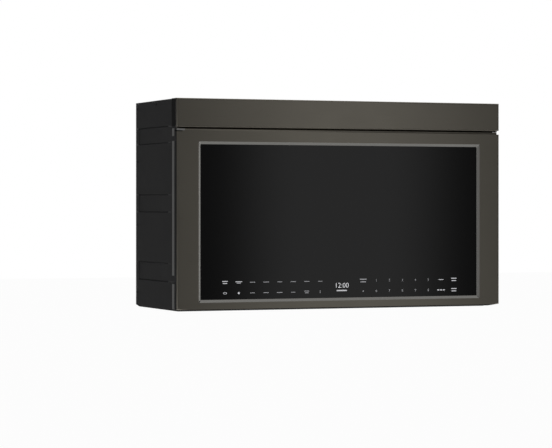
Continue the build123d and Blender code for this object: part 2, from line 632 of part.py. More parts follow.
def make_waveguide():
    """Rectangular duct that leads from the magnetron to the antenna."""
    half = WAVEGUIDE_WIDTH / 2
    x = (STIRRER_X - WAVEGUIDE_OVERRUN, MAGNETRON_X + MAGNETRON_WIDTH / 2)
    depth = (STIRRER_DEPTH - half, STIRRER_DEPTH + half)
    wall = CASE_SHEET
    duct = block(x, depth, (WAVEGUIDE_BOTTOM, ANTENNA_BOX_BOTTOM))
    duct -= block(
        (x[0] + wall, x[1] - wall),
        (depth[0] + wall, depth[1] - wall),
        (WAVEGUIDE_BOTTOM + wall, ANTENNA_BOX_BOTTOM - wall),
    )
    hole = 3 * STIRRER_SHAFT_RADIUS
    duct -= prism(STIRRER_X, STIRRER_DEPTH, WAVEGUIDE_BOTTOM, hole, WAVEGUIDE_HEIGHT)
    probe = MAGNETRON_PROBE_RADIUS + 2
    return duct - prism(MAGNETRON_X, STIRRER_DEPTH, ANTENNA_BOX_BOTTOM - wall, probe, wall)


def make_stirrer_motor():
    """Flat synchronous motor hung under the waveguide."""
    top = WAVEGUIDE_BOTTOM
    low = top - STIRRER_MOTOR_HEIGHT
    body = prism(STIRRER_X, STIRRER_DEPTH, low, STIRRER_MOTOR_RADIUS, STIRRER_MOTOR_HEIGHT)
    ears = block(
        (STIRRER_X - 34, STIRRER_X + 34), (STIRRER_DEPTH - 7, STIRRER_DEPTH + 7), (top - 1.2, top)
    )
    plug = block(
        (STIRRER_X - 9, STIRRER_X + 9),
        (STIRRER_DEPTH + STIRRER_MOTOR_RADIUS - 4, STIRRER_DEPTH + STIRRER_MOTOR_RADIUS + 10),
        (low, top - 10),
    )
    bore = STIRRER_SHAFT_RADIUS + RUNNING_CLEARANCE
    return body + ears + plug - rod(STIRRER_X, STIRRER_DEPTH, top - 14, bore, 14)


def make_stirrer_antenna():
    """Slotted round antenna on its driving shaft."""
    plate_bottom = ANTENNA_BOX_BOTTOM + ANTENNA_BOX_HEIGHT / 2
    plate = prism(STIRRER_X, STIRRER_DEPTH, plate_bottom, ANTENNA_RADIUS, ANTENNA_SHEET, sides=24)
    centre = Pos(STIRRER_X, FRONT_Y + STIRRER_DEPTH, plate_bottom)
    for turn in range(4):
        window = Pos(0.6 * ANTENNA_RADIUS, 0, 0) * Box(26, 14, 3 * ANTENNA_SHEET)
        plate -= centre * Rot(0, 0, 45 + 90 * turn) * window
        edge = Pos(ANTENNA_RADIUS, 0, 0) * Box(22, 9, 3 * ANTENNA_SHEET)
        plate -= centre * Rot(0, 0, 90 * turn) * edge
    shaft_bottom = WAVEGUIDE_BOTTOM - 13
    shaft = rod(
        STIRRER_X, STIRRER_DEPTH, shaft_bottom, STIRRER_SHAFT_RADIUS, plate_bottom - shaft_bottom
    )
    hub = prism(STIRRER_X, STIRRER_DEPTH, plate_bottom - 6, 2.4 * STIRRER_SHAFT_RADIUS, 6)
    return plate + shaft + hub


def make_magnetron():
    """Magnetron with yoke, finned anode, magnets, filter box and output probe."""
    x = MAGNETRON_X
    bottom = ANTENNA_BOX_BOTTOM
    top = bottom + MAGNETRON_HEIGHT
    half_width = MAGNETRON_WIDTH / 2
    half_depth = MAGNETRON_DEPTH / 2
    depth = (STIRRER_DEPTH - half_depth, STIRRER_DEPTH + half_depth)
    yoke = block((x - half_width, x + half_width), depth, (bottom, top))
    yoke -= block(
        (x - half_width + MAGNETRON_SHEET, x + half_width - MAGNETRON_SHEET),
        depth,
        (bottom + MAGNETRON_SHEET, top - MAGNETRON_SHEET),
    )
    core = prism(x, STIRRER_DEPTH, bottom, 19, MAGNETRON_HEIGHT, sides=8)
    magnet = prism(x, STIRRER_DEPTH, bottom + MAGNETRON_SHEET, 27, 12, sides=8)
    magnet += prism(x, STIRRER_DEPTH, top - MAGNETRON_SHEET - 12, 27, 12, sides=8)
    fins = []
    first = bottom + MAGNETRON_SHEET + 15
    pitch = (MAGNETRON_HEIGHT - 2 * MAGNETRON_SHEET - 30) / (MAGNETRON_FINS - 1)
    for count in range(MAGNETRON_FINS):
        height = first + count * pitch
        fins.append(
            block(
                (x - half_width + MAGNETRON_SHEET, x + half_width - MAGNETRON_SHEET),
                (depth[0] + 4, depth[1] - 4),
                (height - 0.5, height + 0.5),
            )
        )
    filter_box = block((x - 32, x + 32), (STIRRER_DEPTH - 26, STIRRER_DEPTH + 26), (top, top + 24))
    probe = prism(x, STIRRER_DEPTH, bottom - 24, MAGNETRON_PROBE_RADIUS, 24)
    socket = block((x - 10, x + 10), (STIRRER_DEPTH - 38, STIRRER_DEPTH - 26), (top + 5, top + 18))
    return yoke.fuse(core, magnet, *fins, filter_box, probe, socket)


# ---- Electrics ---------------------------------------------------------------------------------
def make_transformer():
    """High voltage transformer: laminated core, wound coil and foot plate."""
    x = MAGNETRON_X
    half = TRANSFORMER_WIDTH / 2
    front = TRANSFORMER_DEPTH
    low = INNER_FLOOR_TOP
    foot_depth = (front + 4, front + TRANSFORMER_STACK + 16)
    foot = block((x - half - 5, x + half + 5), foot_depth, (low, low + 2))
    core = block(
        (x - half, x + half),
        (front + 10, front + 10 + TRANSFORMER_STACK),
        (low + 2, low + 2 + TRANSFORMER_HEIGHT),
    )
    coil = block(
        (x - 30, x + 30), (front, front + TRANSFORMER_STACK + 20), (low + 13, low + TRANSFORMER_HEIGHT - 9)
    )
    coil = chamfer(coil.edges().filter_by(Axis.Z), 6)
    return core.fuse(coil, foot)


def make_capacitor():
    """High voltage capacitor can with its terminals and strap foot."""
    x = MAGNETRON_X - 6
    depth = STIRRER_DEPTH + MAGNETRON_DEPTH / 2 + 26
    low = INNER_FLOOR_TOP
    half = CAPACITOR_THICKNESS / 2
    can = block(
        (x - CAPACITOR_WIDTH / 2, x + CAPACITOR_WIDTH / 2),
        (depth - half, depth + half),
        (low, low + CAPACITOR_HEIGHT),
    )
    can = chamfer(can.edges().filter_by(Axis.Z), half / 2)
    middle = low + CAPACITOR_HEIGHT / 2
    strap = block((x + CAPACITOR_WIDTH / 2 - 2, BAY_RIGHT), (depth - 8, depth + 8), (middle - 7, middle + 7))
    tabs = []
    for at in (x - 12, x + 12):
        tabs.append(block((at - 0.4, at + 0.4), (depth - 3, depth + 3), (low, low + CAPACITOR_HEIGHT + 8)))
    return can.fuse(strap, *tabs)


def make_cooling_shroud():
    """Square fan plate with a round throat and four arms that hold the motor."""
    x = BAY_LEFT + BAY_WIDTH / 2
    half = BAY_WIDTH / 2
    z = COOLING_FAN_HEIGHT
    depth = (COOLING_FAN_DEPTH, COOLING_FAN_DEPTH + COOLING_SHROUD_DEPTH)
    plate = block((BAY_LEFT, BAY_RIGHT), depth, (z - half, z + half))
    throat = prism(x, depth[0], z, COOLING_FAN_RADIUS + 3, COOLING_SHROUD_DEPTH, "Y", 24)
    arm_depth = (depth[1] - 3, depth[1])
    arms = block((x - half + 4, x + half - 4), arm_depth, (z - 4, z + 4))
    arms += block((x - 4, x + 4), arm_depth, (z - half + 4, z + half - 4))
    shroud = (plate - throat) + arms
    return shroud - prism(x, arm_depth[0], z, 4 * COOLING_SHAFT_RADIUS, 3, "Y")


def make_cooling_motor():
    """Shaded pole motor behind the cooling fan."""
    x = BAY_LEFT + BAY_WIDTH / 2
    start = COOLING_FAN_DEPTH + COOLING_SHROUD_DEPTH
    z = COOLING_FAN_HEIGHT
    stack = block((x - 25, x + 25), (start, start + 16), (z - 22, z + 22))
    coil = block((x - 14, x + 14), (start + 2, start + 14), (z - 42, z - 22))
    bearing = prism(x, start - 3, z, 3.6 * COOLING_SHAFT_RADIUS, 26, "Y")
    bore = rod(x, start - 3, z, COOLING_SHAFT_RADIUS + RUNNING_CLEARANCE, 20, "Y")
    return stack.fuse(coil, bearing) - bore


def make_cooling_shaft():
    """Shaft of the cooling fan."""
    x = BAY_LEFT + BAY_WIDTH / 2
    start = COOLING_FAN_DEPTH + 3
    return rod(x, start, COOLING_FAN_HEIGHT, COOLING_SHAFT_RADIUS, COOLING_SHROUD_DEPTH + 12, "Y")


def make_cooling_blade():
    """Moulded axial fan with pitched blades."""
    x = BAY_LEFT + BAY_WIDTH / 2
    start = COOLING_FAN_DEPTH + 2
    length = COOLING_SHROUD_DEPTH - 7
    hub = prism(x, start, COOLING_FAN_HEIGHT, 13, length, "Y")
    centre = Pos(x, FRONT_Y + start + length / 2, COOLING_FAN_HEIGHT)
    reach = COOLING_FAN_RADIUS + 6
    blades = []
    for count in range(COOLING_BLADES):
        blade = Pos(reach / 2, 0, 0) * Rot(35, 0, 0) * Box(reach, 1.4, 30)
        blades.append(centre * Rot(0, count * 360 / COOLING_BLADES, 0) * blade)
    limits = prism(x, start, COOLING_FAN_HEIGHT, COOLING_FAN_RADIUS, length, "Y", 20)
    fan = hub.fuse(*blades) & limits
    return fan - rod(x, start, COOLING_FAN_HEIGHT, COOLING_SHAFT_RADIUS + PRESSED_CLEARANCE, length, "Y")


def make_control_board():
    """Power and relay board on its moulded tray, fixed to the bay wall."""
    x = BAY_RIGHT
    depth = (CONTROL_BOARD_DEPTH, CONTROL_BOARD_DEPTH + CONTROL_BOARD_LENGTH)
    height = (OVEN_TOP - 4 - CONTROL_BOARD_HEIGHT, OVEN_TOP - 4)
    tray = block((x - 8, x), depth, height)
    tray -= block((x - 8, x - 3), (depth[0] + 2, depth[1] - 2), (height[0] + 2, height[1] - 2))
    board = block(
        (x - 3 - BOARD_THICKNESS, x - 3), (depth[0] + 3, depth[1] - 3), (height[0] + 3, height[1] - 3)
    )
    parts = []
    for row in range(4):
        start = depth[0] + 12 + row * 30
        parts.append(block((x - 20, x - 3), (start, start + 20), (height[0] + 12, height[0] + 28)))
    parts.append(block((x - 28, x - 3), (depth[0] + 20, depth[0] + 52), (height[1] - 42, height[1] - 12)))
    parts.append(block((x - 16, x - 3), (depth[1] - 50, depth[1] - 12), (height[1] - 26, height[1] - 14)))
    return tray.fuse(board, *parts)


def make_line_filter():
    """Mains filter board on the vent deck."""
    x = (BAY_LEFT + 14, BAY_RIGHT - 12)
    depth = (LINE_FILTER_DEPTH, LINE_FILTER_DEPTH + LINE_FILTER_LENGTH)
    z = VENT_DECK_TOP
    board = block(x, depth, (z + 6, z + 6 + BOARD_THICKNESS))
    corners = [(px, pd) for px in (x[0] + 6, x[1] - 6) for pd in (depth[0] + 6, depth[1] - 6)]
    posts = [block((px - 3, px + 3), (pd - 3, pd + 3), (z, z + 6)) for px, pd in corners]
    top = z + 6 + BOARD_THICKNESS
    choke = prism(x[0] + 24, depth[0] + 26, top, 15, 18) - prism(x[0] + 24, depth[0] + 26, top + 3, 7, 15)
    cans = [prism(x[1] - 20, depth[0] + 24 + step, top, 8, 22) for step in (0, 22)]
    fuse = block((x[0] + 10, x[0] + 44), (depth[1] - 26, depth[1] - 16), (top, top + 10))
    return board.fuse(*posts, choke, *cans, fuse)


def make_touch_board():
    """Circuit board behind the touch area of the glass."""
    x = (GLASS_LEFT + TOUCH_BOARD_MARGIN, GLASS_RIGHT - TOUCH_BOARD_MARGIN)
    height = (TOUCH_BOARD_BOTTOM, TOUCH_BOARD_BOTTOM + TOUCH_BOARD_HEIGHT)
    board = block(x, (GLASS_BACK, GLASS_BACK + BOARD_THICKNESS), height)
    back = GLASS_BACK + BOARD_THICKNESS
    chips = []
    for at in (-160, -90, 90, 150):
        chips.append(block((at, at + 14), (back, back + 2), (height[0] + 14, height[0] + 28)))
    plug = block((200, 232), (back, back + 6), (height[0] + 8, height[0] + 16))
    return board.fuse(*chips, plug)


def make_display_module():
    """Clock display behind the middle of the touch area."""
    back = GLASS_BACK + BOARD_THICKNESS
    middle = TOUCH_BOARD_BOTTOM + TOUCH_BOARD_HEIGHT / 2
    x = (-DISPLAY_WIDTH / 2, DISPLAY_WIDTH / 2)
    height = (middle - DISPLAY_HEIGHT / 2, middle + DISPLAY_HEIGHT / 2)
    body = block(x, (back, back + 7), height)
    return body + block((x[0] + 8, x[1] - 8), (back + 7, back + 10), (height[0] + 8, height[0] + 18))


# ---- Vent --------------------------------------------------------------------------------------
def scroll_face(wall):
    """Spiral airway of the blower and its outlet, grown by a wall, in the plane across the shaft."""
    first = SCROLL_RADIUS + wall
    points = []
    for turn in range(0, 271, 30):
        radius = first + SCROLL_GROWTH * turn / 90
        angle = math.radians(turn)
        points.append((radius * math.cos(angle), radius * math.sin(angle)))
    top = SCROLL_TOP + wall
    tongue = SCROLL_TONGUE_HEIGHT - wall
    points.append((SCROLL_OUTLET_REACH, -top))
    points.append((SCROLL_OUTLET_REACH, -tongue))
    points.append((first, -tongue))
    return make_face(Polyline(*points, close=True))


def make_scroll(side):
    """Blower housing round one wheel, open to the front, with an inlet in each end."""
    start = SCROLL_INNER_X if side > 0 else -SCROLL_INNER_X - SCROLL_WIDTH
    origin = (start, FRONT_Y + BLOWER_DEPTH, BLOWER_HEIGHT)
    across = Plane(origin=origin, x_dir=(0, -1, 0), z_dir=(1, 0, 0))
    shell = extrude(across * scroll_face(SCROLL_WALL), SCROLL_WIDTH)
    within = Plane(origin=(start + SCROLL_WALL, *origin[1:]), x_dir=(0, -1, 0), z_dir=(1, 0, 0))
    airway = extrude(within * scroll_face(0), SCROLL_WIDTH - 2 * SCROLL_WALL)
    inlet = BLOWER_WHEEL_RADIUS - BLOWER_BLADE_DEPTH - 1
    return shell - airway - prism(start, BLOWER_DEPTH, BLOWER_HEIGHT, inlet, SCROLL_WIDTH, "X", 16)


def make_blower_wheel(side):
    """Squirrel-cage wheel with forward-curved blades between a hub disc and two rims."""
    start = WHEEL_INNER_X if side > 0 else -WHEEL_INNER_X - BLOWER_WHEEL_LENGTH
    outer = BLOWER_WHEEL_RADIUS
    inner = outer - BLOWER_BLADE_DEPTH
    middle = (outer + inner) / 2
    profile = ((inner + 0.6, 0), (outer - 0.9, 13))
    thickness = math.degrees(BLOWER_BLADE_THICKNESS / middle)
    points = []
    for radius, angle in profile:
        turn = math.radians(angle)
        points.append((radius * math.cos(turn), radius * math.sin(turn)))
    for radius, angle in reversed(profile):
        turn = math.radians(angle + thickness)
        points.append((radius * math.cos(turn), radius * math.sin(turn)))
    blade = extrude(make_face(Polyline(*points, close=True)), BLOWER_WHEEL_LENGTH)
    across = Plane(origin=(start, FRONT_Y + BLOWER_DEPTH, BLOWER_HEIGHT), x_dir=(0, 1, 0), z_dir=(1, 0, 0))
    blades = [across * Rot(0, 0, count * 360 / BLOWER_BLADES) * blade for count in range(BLOWER_BLADES)]
    place = (BLOWER_DEPTH, BLOWER_HEIGHT)
    rims = []
    for at_x in (start, start + BLOWER_WHEEL_LENGTH - 2.5):
        band = prism(at_x, *place, outer, 2.5, "X", BLOWER_BLADES)
        rims.append(band - prism(at_x, *place, inner, 2.5, "X", BLOWER_BLADES))
    disc_x = start + BLOWER_WHEEL_LENGTH / 2 - 1
    disc = prism(disc_x, *place, outer, 2, "X", BLOWER_BLADES)
    hub = prism(disc_x - 8, *place, 10, 18, "X")
    wheel = disc.fuse(hub, *rims, *blades)
    bore = BLOWER_SHAFT_RADIUS + PRESSED_CLEARANCE
    return wheel - rod(disc_x - 8, *place, bore, 18, "X")


def make_blower_motor():
    """Double-ended vent motor with bearing bosses and a saddle on the vent deck."""
    half = BLOWER_MOTOR_LENGTH / 2
    place = (BLOWER_DEPTH, BLOWER_HEIGHT)
    stator = prism(-half + 12, *place, BLOWER_MOTOR_RADIUS, BLOWER_MOTOR_LENGTH - 24, "X", 24)
    bosses = prism(-half, *place, 14, BLOWER_MOTOR_LENGTH, "X")
    saddle = block(
        (-20, 20),
        (BLOWER_DEPTH - 34, BLOWER_DEPTH + 34),
        (VENT_DECK_TOP, BLOWER_HEIGHT - 20),
    )
    inside = (VENT_DECK_TOP + 2, BLOWER_HEIGHT - 20)
    saddle -= block((-17, 17), (BLOWER_DEPTH - 34, BLOWER_DEPTH + 34), inside)
    bore = rod(-half, *place, BLOWER_SHAFT_RADIUS + RUNNING_CLEARANCE, BLOWER_MOTOR_LENGTH, "X")
    return stator.fuse(bosses, saddle) - bore


def make_blower_shaft():
    """Shaft through the vent motor and both wheels."""
    half = WHEEL_INNER_X + BLOWER_WHEEL_LENGTH / 2 + 12
    return rod(-half, BLOWER_DEPTH, BLOWER_HEIGHT, BLOWER_SHAFT_RADIUS, 2 * half, "X")


def make_charcoal_filter():
    """Framed bed of charcoal that fills the vent opening of the front frame."""
    half = CHARCOAL_WIDTH / 2
    z = (CHARCOAL_HEIGHT_OFFSET, CHARCOAL_HEIGHT_OFFSET + CHARCOAL_HEIGHT)
    outline = (-half, half, *z)
    depth = (CASE_FRONT, CASE_FRONT + CHARCOAL_THICKNESS)
    frame = ring(outline, grown(outline, -6), depth)
    bed = block((-half + 6, half - 6), (depth[0] + 3, depth[1] - 3), (z[0] + 6, z[1] - 6))
    bars = [block((at - 1.5, at + 1.5), depth, (z[0] + 6, z[1] - 6)) for at in (-80, 0, 80)]
    return frame.fuse(bed, *bars)


def make_vent_louvre():
    """Slatted outlet in front of the charcoal filter that throws the air upwards."""
    half = CHARCOAL_WIDTH / 2 + 6
    z = (CHARCOAL_HEIGHT_OFFSET - 4, CHARCOAL_HEIGHT_OFFSET + CHARCOAL_HEIGHT + 3)
    depth = (CASE_FRONT - LOUVRE_THICKNESS, CASE_FRONT)
    outline = (-half, half, *z)
    frame = ring(outline, grown(outline, -3), depth)
    pitch = (z[1] - z[0] - 6) / LOUVRE_SLATS
    slats = []
    for count in range(LOUVRE_SLATS):
        low = z[0] + 3 + (count + 0.1) * pitch
        high = low + 0.75 * pitch
        slat = ((depth[1], low), (depth[0], high), (depth[0], high + 1.4), (depth[1], low + 1.4))
        slats.append(side_plate(slat, (-half + 3, half - 3)))
    return frame.fuse(*slats)


def make_grease_filter(side):
    """Aluminium framed mesh filter, drawn out towards the side of the case."""
    middle = side * FILTER_SPACING / 2
    half = FILTER_LENGTH / 2
    half_wide = FILTER_WIDTH / 2
    x = (middle - half, middle + half)
    depth = (FILTER_DEPTH - half_wide, FILTER_DEPTH + half_wide)
    z = (FRAME_SHEET, FRAME_SHEET + FILTER_THICKNESS)
    frame = block(x, depth, z) - block((x[0] + 7, x[1] - 7), (depth[0] + 7, depth[1] - 7), z)
    mesh = block((x[0] + 7, x[1] - 7), (depth[0] + 7, depth[1] - 7), (z[0] + 2, z[1] - 2))
    grid = [
        block((x[0] + 7, x[1] - 7), (at - 1, at + 1), (z[0] + 0.5, z[1] - 0.5))
        for at in (FILTER_DEPTH - 22, FILTER_DEPTH + 22)
    ]
    return frame.fuse(mesh, *grid)


def make_lamp_lens(side):
    """Flat lens of one cooktop lamp, lying on the rim of its window."""
    x = side * LAMP_SPACING / 2
    lens = block(
        (x - LAMP_LENS_LENGTH / 2, x + LAMP_LENS_LENGTH / 2),
        (LAMP_DEPTH - LAMP_LENS_WIDTH / 2, LAMP_DEPTH + LAMP_LENS_WIDTH / 2),
        (FRAME_SHEET, FRAME_SHEET + 2),
    )
    return chamfer(lens.edges().filter_by(Axis.Z), 4)


def make_lamp_housing(side):
    """Moulded housing over one lens, with its light board inside."""
    x = side * LAMP_SPACING / 2
    half = LAMP_LENS_LENGTH / 2
    wide = LAMP_LENS_WIDTH / 2
    low = FRAME_SHEET
    wall = wide + 6
    outer = block((x - half - 6, x + half + 6), (LAMP_DEPTH - wall, LAMP_DEPTH + wall), (low, low + 15))
    hollow = block(
        (x - half - SEAT_CLEARANCE, x + half + SEAT_CLEARANCE),
        (LAMP_DEPTH - wide - SEAT_CLEARANCE, LAMP_DEPTH + wide + SEAT_CLEARANCE),
        (low, low + 13),
    )
    board_half = wide - 4
    board = block(
        (x - half + 4, x + half - 4),
        (LAMP_DEPTH - board_half, LAMP_DEPTH + board_half),
        (low + 11, low + 13),
    )
    return outer - hollow + board


def make_vent_fascia():
    """Folded strip above the door, with air slots in its top return and a lip behind the gap."""
    outline = (-HALF_WIDTH, HALF_WIDTH, FASCIA_BOTTOM, FASCIA_TOP)
    strip = block(outline[:2], (0, DOOR_RETURN), outline[2:])
    strip = fillet(edges_at(strip, 0), DOOR_BEND)
    inner = grown(outline, -DOOR_SKIN)
    hollow = block(inner[:2], (DOOR_SKIN, DOOR_RETURN), inner[2:])
    strip -= fillet(edges_at(hollow, DOOR_SKIN), DOOR_BEND - DOOR_SKIN)
    strip -= block(outline[:2], (FASCIA_END_RETURN, DOOR_RETURN), inner[2:])
    lower = (FASCIA_BOTTOM, FASCIA_BOTTOM + DOOR_SKIN)
    upper = (FASCIA_TOP - DOOR_SKIN, FASCIA_TOP)
    lip_back = DOOR_RETURN - FLANGE
    strip -= block(outline[:2], (lip_back, DOOR_RETURN), lower)
    half_lip = HALF_WIDTH - CORNER_NOTCH_WIDTH - DOOR_SKIN
    lip_bottom = DOOR_TOP + SEAT_CLEARANCE
    strip += block((-half_lip, half_lip), (lip_back - DOOR_SKIN, lip_back), (lip_bottom, lower[1]))
    strip += block((-CASE_INSIDE, CASE_INSIDE), (DOOR_RETURN, CASE_FRONT), upper)
    slots = []
    for count in range(12):
        start = -CHARCOAL_WIDTH + 4 + count * CHARCOAL_WIDTH / 6
        slots.append(block((start, start + 47), (16, 22), upper))
    strip = strip.cut(*slots)
    for side in (-1, 1):
        edge = sorted((side * HALF_WIDTH, side * (HALF_WIDTH - CORNER_NOTCH_WIDTH)))
        strip -= block(edge, (0, DOOR_RETURN), (FASCIA_BOTTOM, FASCIA_BOTTOM + FASCIA_NOTCH_HEIGHT))
    return strip


def make_fascia_cap(side):
    """Moulded cap that closes one end of the fascia."""
    edge = sorted((side * HALF_WIDTH, side * (HALF_WIDTH - 3)))
    z = (FASCIA_BOTTOM + FASCIA_NOTCH_HEIGHT, FASCIA_TOP - DOOR_SKIN)
    return block(edge, (FASCIA_END_RETURN, DOOR_RETURN), z)


# ---- Door --------------------------------------------------------------------------------------
def door_plate(outline, depth):
    """Plate whose lower edge rises towards both corners, as that of the door does."""
    left, right, bottom, top = outline
    points = (
        (left, bottom + DOOR_TAPER_RISE),
        (left + DOOR_TAPER_LENGTH, bottom),
        (right - DOOR_TAPER_LENGTH, bottom),
        (right, bottom + DOOR_TAPER_RISE),
        (right, top),
        (left, top),
    )
    return front_plate(points, depth)


def corner_notch(depth):
    """Open relief at the free upper corner of the door."""
    x = (HALF_WIDTH - CORNER_NOTCH_WIDTH, HALF_WIDTH)
    return block(x, depth, (DOOR_TOP - CORNER_NOTCH_HEIGHT, DOOR_TOP))


def make_door_skin():
    """Folded door front with a bevelled glass opening, corner reliefs and hinge cut-outs."""
    skin = door_plate(DOOR_OUTLINE, (0, DOOR_RETURN))
    skin = fillet(edges_at(skin, 0), DOOR_BEND)
    hollow = door_plate(grown(DOOR_OUTLINE, -DOOR_SKIN), (DOOR_SKIN, DOOR_RETURN))
    skin -= fillet(edges_at(hollow, DOOR_SKIN), DOOR_BEND - DOOR_SKIN)
    seat = grown(BEVEL_OUTLINE, GLASS_LAP)
    skin += block(seat[:2], (DOOR_SKIN, GLASS_FRONT), seat[2:])
    bevel_inner = grown(BEVEL_OUTLINE, -BEVEL_WIDTH)
    corner = BEVEL_CORNER / 2
    skin -= loft([front_face(BEVEL_OUTLINE, 0, BEVEL_CORNER), front_face(bevel_inner, BEVEL_DEPTH, corner)])
    skin -= extrude(front_face(bevel_inner, GLASS_FRONT, corner), GLASS_FRONT - BEVEL_DEPTH)
    skin -= corner_notch((0, DOOR_RETURN))
    slot_top = DOOR_TOP - CORNER_STRIP
    skin -= block(
        (-HALF_WIDTH, -HALF_WIDTH + RELIEF_SLOT_LENGTH),
        (0, RETURN_GROOVE_DEPTH),
        (slot_top - RELIEF_SLOT_WIDTH, slot_top),
    )
    for side in (-1, 1):
        edge = sorted((side * HALF_WIDTH, side * (HALF_WIDTH - RETURN_GROOVE)))
        depth = (RETURN_GROOVE_DEPTH, RETURN_GROOVE_DEPTH + RETURN_GROOVE_WIDTH)
        skin -= block(edge, depth, (DOOR_BOTTOM, slot_top))
    for height, notch in HINGES:
        skin -= block(
            (-HALF_WIDTH, -HALF_WIDTH + DOOR_SKIN),
            (PIVOT_DEPTH - HINGE_ARM_WIDTH / 2 - 1, DOOR_RETURN),
            (height - notch / 2, height + notch / 2),
        )
    return skin


def make_door_glass():
    """Glass that fills the bevelled opening and carries the touch legends."""
    outline = grown(BEVEL_OUTLINE, -BEVEL_WIDTH + GLASS_LAP)
    return block(outline[:2], (GLASS_FRONT, GLASS_BACK), outline[2:])


def make_door_back_panel():
    """Sheet that closes the back of the door round the choke."""
    left = -HALF_WIDTH + HINGE_SIDE_RELIEF
    right = HALF_WIDTH - BACK_PANEL_EDGE
    z = (DOOR_BOTTOM + BACK_PANEL_EDGE, DOOR_TOP - BACK_PANEL_EDGE)
    depth = (DOOR_RETURN, DOOR_RETURN + BACK_PANEL_SHEET)
    panel = door_plate((left, right, *z), depth) - block(CHOKE_OUTLINE[:2], depth, CHOKE_OUTLINE[2:])
    for height, notch in HINGES:
        panel -= block((left, POCKET_EDGE), depth, (height - notch / 2, height + notch / 2))
    panel -= corner_notch(depth)
    half = HOOK_THICKNESS / 2 + 1
    room = HOOK_HEIGHT / 2 + 1
    for height, extra in ((UPPER_HOOK_HEIGHT, 0), (LOWER_HOOK_HEIGHT, SWITCH_PITCH + 2)):
        panel -= block(
            (LATCH_X - half, LATCH_X + half + extra),
            depth,
            (height - room - HOOK_NOSE, height + room + LATCH_TRAVEL),
        )
    return panel


def make_door_choke():
    """Folded steel channel round the window with a row of choke slots."""
    sheet = CHOKE_SHEET
    depth = (CHOKE_FRONT, DOOR_BACK - CHOKE_COVER_SHEET)
    channel = ring(CHOKE_OUTLINE, OVEN_OUTLINE, depth)
    channel -= ring(
        grown(CHOKE_OUTLINE, -sheet), grown(OVEN_OUTLINE, sheet), (depth[0] + sheet, depth[1])
    )
    slot_depth = (depth[1] - CHOKE_SLOT_DEPTH, depth[1])
    slots = []
    left, right, bottom, top = grown(OVEN_OUTLINE, sheet)
    half = CHOKE_SLOT_WIDTH / 2
    for count in range(int((right - left) / CHOKE_SLOT_PITCH)):
        at = left + (count + 0.5) * CHOKE_SLOT_PITCH
        slots.append(block((at - half, at + half), slot_depth, (top - sheet, top)))
        slots.append(block((at - half, at + half), slot_depth, (bottom, bottom + sheet)))
    for count in range(int((top - bottom) / CHOKE_SLOT_PITCH)):
        at = bottom + (count + 0.5) * CHOKE_SLOT_PITCH
        slots.append(block((left, left + sheet), slot_depth, (at - half, at + half)))
        slots.append(block((right - sheet, right), slot_depth, (at - half, at + half)))
    return channel.cut(*slots)


def make_door_screen():
    """Thin sheet that closes the window to microwaves."""
    depth = (CHOKE_FRONT, CHOKE_FRONT + CHOKE_SHEET)
    return block(OVEN_OUTLINE[:2], depth, OVEN_OUTLINE[2:])


def make_inner_pane():
    """Clear pane on the oven side of the window."""
    outline = grown(OVEN_OUTLINE, -SEAT_CLEARANCE)
    back = DOOR_BACK - CHOKE_COVER_SHEET
    return block(outline[:2], (back - INNER_PANE_THICKNESS, back), outline[2:])


def make_choke_cover():
    """Moulded frame that covers the choke and holds the inner pane."""
    depth = (DOOR_BACK - CHOKE_COVER_SHEET, DOOR_BACK)
    cover = ring(CHOKE_OUTLINE, grown(OVEN_OUTLINE, -6), depth)
    return chamfer(edges_at(cover, DOOR_BACK), 0.6)


# ---- Hinges ------------------------------------------------------------------------------------
def make_hinge_arm(height):
    """Folded arm that reaches from behind the front frame to the door pivot."""
    half = HINGE_ARM_THICKNESS / 2
    slant = HINGE_ARM_WIDTH / 2 * math.hypot(1, ARM_SLOPE)
    back = FRAME_BACK + HINGE_ARM_THICKNESS
    back_x = PIVOT_X + ARM_SLOPE * (back - PIVOT_DEPTH)
    points = (
        (PIVOT_X - slant, PIVOT_DEPTH),
        (PIVOT_X + slant, PIVOT_DEPTH),
        (back_x + slant, back),
        (back_x - slant, back),
    )
    arm = plan_plate(points, height - half, height + half)
    arm += prism(PIVOT_X, PIVOT_DEPTH, height - half, HINGE_ARM_WIDTH / 2, HINGE_ARM_THICKNESS, sides=16)
    flange = block(
        (HINGE_FLANGE_LEFT, HINGE_FLANGE_LEFT + HINGE_FLANGE_WIDTH),
        (FRAME_BACK, back),
        (height - HINGE_FLANGE_HEIGHT / 2, height + HINGE_FLANGE_HEIGHT / 2),
    )
    arm += flange
    eye = BUSH_RADIUS + PRESSED_CLEARANCE
    return arm - rod(PIVOT_X, PIVOT_DEPTH, height - half, eye, HINGE_ARM_THICKNESS)


def make_hinge_bush(height):
    """Bush in the eye of a hinge arm, with the door's weight on its upper end."""
    low = height - HINGE_ARM_THICKNESS / 2
    length = HINGE_ARM_THICKNESS + HINGE_BUSH_STAND
    return tube(PIVOT_X, PIVOT_DEPTH, low, BUSH_RADIUS, HINGE_PIN_RADIUS + RUNNING_CLEARANCE, length)


